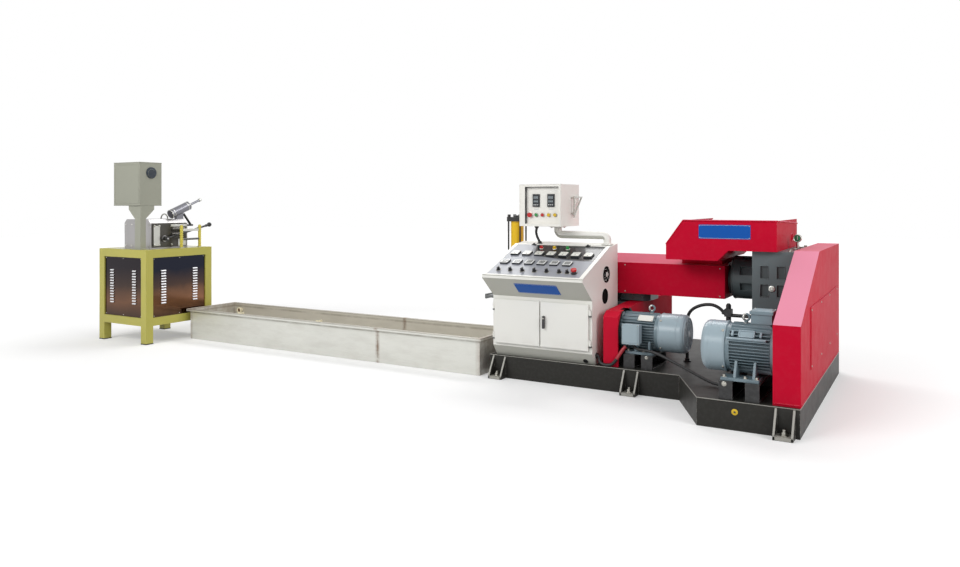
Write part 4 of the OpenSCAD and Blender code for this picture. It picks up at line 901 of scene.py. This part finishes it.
for x, y, z in ((918, BIG_Y, 717), (68.4, SMALL_Y, 653)):
    eyes.torus(at(x, y, z, "Y") @ turn(-38, "Y"), 21, 7, 36, 12)
    eyes.lathe(at(x, y, z - 44), [(17, 0), (17, 5), (11, 9), (9, 20)], 24)
eyes.done()
rims = Kit("fan_rims", FAN, "fan_paint")
for x, y, z, axis, *ring in ((357, *SMALL, "X", 130, 7, 56, 10), (300, *SMALL, "X", 149.5, 4.5, 56, 10),
                             (652, *BIG, "-X", 151, 6, 64, 10), (700, *BIG, "-X", 171, 3.5, 64, 10),
                             (162, *SMALL, "X", 150, 5, 56, 8), (800, *BIG, "X", 171, 5, 64, 8)):
    rims.torus(at(x, y, z, axis), *ring)
rims.done()
guard = Kit("fan_grilles", FAN, "fan_paint")
for x, y, z, r, s, axis in ((360, *SMALL, 124, 1, "X"), (649, *BIG, 145, -1, "-X")):
    for k in range(12):
        b = math.pi * k / 6
        spoke = [(x + s * 1.5, y + q * cos(b), z + q * sin(b)) for q in (20, r)]
        guard.pipe(spoke, 2.6, 8)
    guard.lathe(at(x, y, z, axis), [(30, 0), (30, 3), (26, 5)], 32)
guard.done()

# Cable glands
gland = Kit("cable_glands", KNOB, "black_plastic")
for end, r in ((CABLE[-1], 15), (LINK[0], 13)):
    gland.lathe(at(*end, "-Z"), [(r + 7, 0), (r + 7, 8), (r + 3, 10), (r + 3, 18), (r, 21)], 24)
gland.lathe(at(*PEND[-1]), [(24, -4), (24, 4), (18, 7), (18, 16), (13, 22)], 24)
gland.lathe(at(*PEND[0], "-Z"), [(24, 0), (24, 6), (18, 9), (18, 18), (13, 22)], 24)
gland.lathe(at(*CABLE[0], "X"), [(24, 0), (24, 6), (19, 8), (19, 16), (15, 20)], 24)
gland.lathe(at(*HOSE[-1], "-X"), [(22, 0), (22, 8), (18, 10), (18, 20), (15, 24)], 6)
gland.lathe(at(*HOSE[0]), [(30, 0), (30, 8), (20, 10), (20, 24), (15, 28)], 24)
bevel = shift(-416, -507, 215) @ turn(90 + 35.4, "X")
gland.lathe(bevel, [(22, -1), (22, 2), (16, 3.5), (14, 1)], 28).done(0.6)

# Instrument faces, windows, marks and pointers
faces = Kit("meter_faces", METERWHITE, "meter_white")
marks = Kit("meter_marks", INK, "black_plastic")
bezels = Kit("controller_bezels", BEZEL, "meter_white")
windows = Kit("controller_windows", WINDOW, "black_plastic")
keys = Kit("controller_keys", INK, "black_plastic")
for i, x in enumerate(METERS):
    top = desk(x, ROW_METER, 22)
    faces.plate(top, 70, 70, 4, 0, 2.4)
    pivot = top @ shift(0, -20, 2.4)
    for k in range(11):
        marks.box(32 if k % 5 else 29, 37, -0.5, 0.5, 0, 0.4, pivot @ turn(140 - 10 * k, "Z"))
    marks.box(4, 33, -0.5, 0.5, 0.2, 0.9, pivot @ turn(132 - 9 * i, "Z"))
    marks.lathe(pivot, [(4, 0), (4, 1.2), (3, 1.6)], 18)
for x in CONTROLLERS:
    top = desk(x, ROW_CTRL, 20)
    bezels.plate(top, 71, 71, 5, 0, 3)
    windows.plate(top @ shift(0, 7, 3), 48, 36, 3, 0, 0.8)
    for k in range(4):
        keys.plate(top @ shift(-18 + 12 * k, -24, 3), 8, 5, 1, 0, 1.2)
    for row, k in product((15, 2), range(4)):
        bezels.box(-19 + k * 10, -13 + k * 10, row - 4, row + 4, 3.6, 4.2, top)
for kit, b in ((faces, 0.8), (marks, 0), (bezels, 1.0), (windows, 0.3), (keys, 0.3)):
    kit.done(b)
points = Kit("knob_pointers", METERWHITE, "meter_white")
skirts = zinc("knob_plates")
for x in KNOBS:
    points.box(-1.2, 1.2, 2, 15, 0, 0.7, desk(x, ROW_KNOB, PANEL_TOP + 32))
    skirts.lathe(desk(x, ROW_KNOB, PANEL_TOP), [(23, 0), (23, 2), (20.5, 3.5)], 28)
for x in LAMPS:
    skirts.lathe(desk(x, ROW_LAMP, PANEL_TOP), [(20, 0), (20, 3), (17.3, 6)], 28)
points.done()
skirts.done()
collar = Kit("stop_collar", KNOB, "black_plastic")
collar.lathe(desk(STOP_X, ROW_KNOB, PANEL_TOP), [(27, 0), (27, 5), (19, 9), (17, 22)], 32)
for x in (-1053, -537):
    collar.plate(desk(x, ROW_PIN, PANEL_TOP - 4), 42, 20, 5, 0, 9)
    collar.lathe(desk(x, ROW_PIN + 2, PANEL_TOP + 4), [(9, 0), (9, 8), (5, 11)], 20)
collar.done(0.8)
border = Kit("desk_border", WHITE, "off_white")
for x0, x1, v0, v1 in ((-1250, -1213, 4, 655), (-377, CON_SIDE, 4, 655), (-1213, -377, 4, 25),
                       (-1213, -377, 634, 655)):
    border.box(x0, x1, v0, v1, 0, 9, DESK)
border.done(2.0)

# Fan behind the side grille and a black grommet in the lower hole; matt black cups behind both round holes
# are painted shade of their insides
dark = Kit("side_hole_shades", MATT, "black_plastic")
dark.lathe(at(CON_SIDE - 6, *FAN_AT, "-X"), [(58, 0), (58, 30), (4, 30)], 40)
dark.lathe(at(CON_SIDE, *HOLE_AT, "X"), [(63, 0), (63, 3), (59, 5), (51, 5), (49, 2), (49, -12)], 48)
dark.lathe(at(CON_SIDE - 6.5, *HOLE_AT, "-X"), [(60, 0), (60, 26), (4, 26)], 40).done()
rotor = Kit("fan_rotor", ROTOR, "black_plastic")
rotor.lathe(at(CON_SIDE + 4, *FAN_AT, "-X"), [(16, 0), (22, 4), (22, 12)], 28)
for k in range(5):
    blade = at(CON_SIDE - 3, *FAN_AT, "-X") @ turn(72 * (k + 0.3), "Z") @ Matrix.Rotation(0.35, 4, "X")
    rotor.prism(blade, [(16, -5), (46, -11), (50, -4), (49, 6), (43, 9), (18, 5)], -1.2, 1.2)
rotor.done()
hub = Kit("fan_hub", ROTOR, "grille_steel")
hub.lathe(at(CON_SIDE + 6, *FAN_AT, "X"), [(23, 0), (23, 2), (17, 5), (6, 6)], 32)
for a in DIAGONALS:
    hub.screw(at(CON_SIDE + 6, FAN_AT[0] + 63 * cos(a), FAN_AT[1] + 63 * sin(a), "X"), 5, 4)
hub.done()

# Fitting plate with ducts and switchgear inside the cabinet
RAIL = [(-3, 0), (17, 0), (17, 8), (14, 8), (14, 3), (0, 3), (0, 8), (-3, 8)]
DUCT = [(-36, 0), (0, 0), (0, -52), (-4, -55), (-32, -55), (-36, -52)]
fitting = zinc("fitting_plate")
fitting.plate(at(CON_MID, 10, 505, "-Y"), 800, 360, 8, 0, 4)
for z in (412, 560):
    fitting.prism(at(-1160, 6, z, "X"), RAIL, 0, 730)
fitting.done(0.6)
ducts = Kit("wire_ducts", PANELPLASTIC, "panel_grey")
for z in (338, 478, 626):
    ducts.prism(at(-1180, 6, z, "X"), DUCT, 0, 770)
ducts.done(1.0)
gear = Kit("switchgear", KNOB, "black_plastic")
fronts = Kit("switchgear_fronts", CREAM, "cream")
for k in range(9):
    x = -1142 + k * 78
    deep = 84 if k % 3 else 66
    gear.plate(at(x, 0, 566, "-Y"), 62, 84, 5, 0, deep)
    fronts.plate(at(x, -deep, 566, "-Y"), 44, 40, 4, -1, 14)
for k in range(14):
    x = -1150 + k * 36
    fronts.plate(at(x, 0, 418, "-Y"), 33, 78, 3, 0, 48)
    gear.plate(at(x, -48, 418, "-Y"), 12, 20, 3, -1, 16)
for x in (-580, -470):
    gear.plate(at(x, 4, 416, "-Y"), 92, 84, 8, 0, 90)
    fronts.plate(at(x, -86, 416, "-Y"), 60, 50, 6, -1, 6)
gear.done(0.8)
fronts.done(0.8)

# Rear cover of the console with its screws and louvres
HOOD = [(0, 8), (3.5, 7.4), (7.5, 4), (9.5, -2), (9.8, -6),
        (8.4, -6), (7.6, -1.6), (5.6, 2.6), (2.6, 5.2), (0, 5.8)]
rear = Kit("console_rear_cover", WHITE, "off_white")
rear.plate(at(CON_MID, 20, 1096, "Y"), 820, 92, 6, -1, 2)
for x, z in product((-1030, -560), (1074, 1096, 1118)):
    rear.prism(across(x, 21.5, z), HOOD, -70, 70)
rear.done(0.6)
rear_screws = zinc("rear_cover_screws")
for x, z in product((-1190, -927, -663, -400), (1060, 1132)):
    rear_screws.screw(at(x, 22, z, "Y"), 6, 4)
rear_screws.done()

# Grey grip and lock of the right door
grip = Kit("door_grip", GREY_TRIM, "black_plastic", "door_right")
grip.plate(at(GRIP_X, -604, 516, "-Y"), 18, 104, 7, -20, 2.5).done(0.8)
lock = Kit("door_lock", ZINC, "tool_steel", "door_right")
lock.lathe(at(GRIP_X, -606, 548, "-Y"), [(7, 0), (7, 2), (5, 3), (2, 3)], 20).done(0.3)

# Pendant box front: windows, rings, blank strips and flange bolts
led = Kit("pendant_windows", WINDOW, "black_plastic")
segs = Kit("pendant_digits", DIGIT, "lamp_plastic")
tags = Kit("pendant_strips", BEZEL, "meter_white")
for x in (-987, -845):
    led.plate(at(x, PENDANT_Y - 10, 1522, "-Y"), 60, 106, 4, 0, 2)
    for z, h in ((1548, 22), (1514, 16)):
        for k in range(4):
            left = x - 21 + k * 11
            segs.box(left, left + 7, PENDANT_Y - 13, PENDANT_Y - 11.9, z - h / 2, z + h / 2)
    for k in range(3):
        tags.plate(at(x - 17 + 17 * k, PENDANT_Y - 12, 1484, "-Y"), 11, 7, 2, 0, 1.5)
    tags.plate(at(x, PENDANT_Y, 1446, "-Y"), 44, 9, 1, 0, 1.2)
led.done(0.4)
segs.done()
tags.done()
rings = zinc("pendant_rings")
for k in range(5):
    r = 19 if k else 24
    rings.lathe(at(BUTTON_X + BUTTON_STEP * k, PENDANT_Y, 1396, "-Y"), [(r, 0), (r, 3), (15, 6)], 28)
for sx, sy in CORNERS:
    rings.hexbolt(at(-868 + sx * 42, -60 + sy * 42, 1284, "-Z"), 12, 6, False)
rings.done(0.3)
# Grey strips along the top and left edges of the pendant front: painted shadow of its recess
recess_shadow = Kit("pendant_recess_shadow", GREY_TRIM, "black_plastic")
recess_shadow.box(-1086, -762, -279, -253, 1638.5, 1642.5)
recess_shadow.box(-1086.5, -1082.5, -279, -253, 1318, 1638.5).done(0.6)
hem = Kit("pendant_hem", CREAM, "cream")
hem.outline(-1140, -740, -283, -280, 1296, 1664, 5)
hem.done(1.0)
arm_foot = Kit("arm_foot", WHITE, "off_white")
arm_foot.lathe(at(-402, -60, 1141), [(52, 0), (52, 8), (46, 11), (37, 14)], 40).done(0.8)

# Hydraulic cylinder nuts and port
caps = Kit("cylinder_nuts", BLACK, "black_steel")
for sx, sy in CORNERS:
    caps.hexbolt(at(CYL_X + sx * 58, AXIS_Y + sy * 58, CYL_TOP), 30, 24)
caps.lathe(at(CYL_X, AXIS_Y, CYL_TOP), [(34, 0), (34, 12), (26, 18)], 32).done(0.8)

# Trough seams, rim hem and drain ring
weld = Kit("trough_welds", SHEET, "stainless")
for x, y in ((-2493, -570.5), (-2627, 45.5)):
    weld.pipe([(x, y, 6), (x, y, 322)], 3.2, 8)
for inset, z0, z1, r in ((30, 2, 304, 3.4), (0, 304, TR_TOP, 2.6)):
    for x, y in product((TR_X0 + inset, TR_X1 - inset), (TR_Y0 + inset, TR_Y1 - inset)):
        weld.pipe([(x, y, z0), (x, y, z1)], r, 8)
rim = list(product((TR_X0, TR_X1), (TR_Y0, TR_Y1), (TR_TOP,)))
for a, b in ((0, 2), (1, 3), (0, 1), (2, 3)):
    weld.pipe([rim[a], rim[b]], 3.4, 8)
weld.done()
plug = Kit("drain_plug", PLUG, "olive_paint")
plug.lathe(at(DRAIN_X, 24, DRAIN_Z, "-Y"), [(20, 0), (20, 3), (16, 5), (8, 5)], 28).done()
drain = Kit("trough_drain", CLIP, "olive_paint")
drain.torus(at(DRAIN_X, 20, DRAIN_Z, "-Y"), 28, 8, 36, 10)
for x, s in product((-4331, -3236), (-18, 18)):
    drain.hexbolt(at(x + s, -560, 300, "Y"), 13, 6)
drain.done()

# Louvre hoods and screws on the four table panels
hoods = Kit("louvre_hoods", LOUVRE, "stainless")
fixings = zinc("panel_screws")
for dx, dy, out, width, axis in ((0, -1, 416, 628, "-Y"), (0, 1, 416, 628, "Y"),
                                 (1, 0, 386, 688, "X"), (-1, 0, 386, 688, "-X")):
    ox, oy = TABLE_X + dx * out, TABLE_Y + dy * out
    for f in (-0.3, 0.3):
        x, y = ox - dy * f * width, oy + dx * f * width
        for k in range(-6, 7):
            m = Matrix(((dx, 0, dy, x), (dy, 0, -dx, y), (0, 1, 0, 595 + k * 29), (0, 0, 0, 1)))
            hoods.prism(m, HOOD, -30, 30)
    for f, z in product((-0.47, 0, 0.47), (290, 900)):
        fixings.screw(at(ox - dy * f * width, oy + dx * f * width, z, axis), 6, 4)
hoods.done()
fixings.done(0.3)

# Table pads, control box fan and seams, cutter fittings
pads = Kit("table_pads", RUBBER, "cord_rubber")
for x, y in product((-5913, -5199), (-1047, -273)):
    pads.plate(at(x, y, 0), 94, 94, 8, 0, 9)
pads.done(1.0)
vent = Kit("box_vent", VENT, "black_plastic")
vent.lathe(at(-5288, VENT_Y, 1826, "X"), [(62, 0), (62, 8), (58, 11), (52, 11)], 48)
vent.lathe(at(-5274, VENT_Y, VENT_Z, "X"), [(45, 0), (45, 4), (40, 6), (38, 3)], 40)
for k in range(5):
    step = k * 14 - 28
    half = math.sqrt(36 * 36 - step ** 2)
    vent.box(-5271, -5268, VENT_Y - half, VENT_Y + half, VENT_Z + step - 2, VENT_Z + step + 2)
vent.done(0.4)
seams = Kit("box_seams", GREENGREY, "box_paint")
for z in (1472, 1932):
    seams.box(-5730, -5286, -1072.5, -797.5, z, z + 6)
seams.outline(-5714, -5302, -1072, -1070, 1496, 1914, 6)
seams.done(1.0)
cutter = Kit("cutter_rollers", DARKSTEEL, "tool_steel")
cutter.box(CUT_X - 5, CUT_X, -896, -446, 1012, 1276)
for z, r in ((1206, 26), (1150, 24)):
    cutter.lathe(at(-5330, -640, z, "Y"), [(r - 4, 0), (r, 4), (r, 170), (r - 4, 174)], 32)
cutter.done(1.0)
bits = Kit("cutter_fittings", TOPSTEEL, "stainless")
bits.box(CUT_X, CUT_X + 9, -660, -450, 1236, 1262)
bits.box(CUT_X, CUT_X + 9, -880, -800, 1030, 1250)
bits.box(CUT_X, CUT_X + 7, -560, -456, 1020, 1100)
for x, y in ((CUT_X + 9, -870), (CUT_X + 9, -810), (CUT_X, -640), (CUT_X, -470)):
    for z in (1248, 1040):
        bits.hexbolt(at(x, y, z, "X"), 16, 9)
for x, z in product((-5740, -5640, -5540, -5440, -5350), (1260, 1030)):
    bits.screw(at(x, -914, z, "-Y"), 8, 5)
bits.torus(at(-5500, -600, 1318, "-Y"), 58, 8, 24, 10, 0.5)
press = shift(PRESS_X, -490, 1420) @ turn(22 - 90, "X")
for z in (-124, -92, 104, 134):
    bits.torus(press @ shift(0, 0, z), 46, 6, 40, 10)
bits.lathe(press @ shift(0, 0, 290), [(14, 0), (19, 3), (19, 30), (15, 34)], 24).done(0.6)
bars = Kit("guide_bands", PALEYELLOW, "yellow_paint")
for y in POSTS:
    for k in range(9):
        bars.torus(at(POST_X, y, 1018 + k * 26), 16, 5, 28, 8)
    bars.lathe(at(POST_X, y, 1240), [(16, 0), (15, 8), (9, 13), (2, 15)], 24)
bars.done()
link = Kit("guide_bar", TOPSTEEL, "stainless")
link.box(POST_X - 6, POST_X + 6, -576, -359, 1184, 1212)
for y in POSTS:
    link.box(POST_X - 20, POST_X + 20, y - 23, y + 23, 1000, 1006)
link.done(1.0)
arm = Kit("press_link", BLACK, "black_steel")
arm.box(PRESS_X - 12, PRESS_X + 12, -432, -308, 1236, 1256)
arm.pipe([(PRESS_X, -330, 1246), (PRESS_X, -396, 1330), (PRESS_X, -430, 1376)], 13, 12).done(0.8)
grip = Kit("lever_grip", KNOB, "black_plastic", "lever")
pivot = Vector((-5280, -741, 1108))
lean = radians(13.6)
ray = Vector((0, cos(lean), sin(lean)))
grip.lathe(aimed(pivot + ray * 540, ray), [(12, 0), (15, 6), (15, 30), (12.5, 38)], 24)
grip.lathe(aimed(pivot, ray) @ turn(90, "Y") @ shift(0, 0, 18), [(22, 0), (22, 3), (12, 5)], 24).done(0.4)
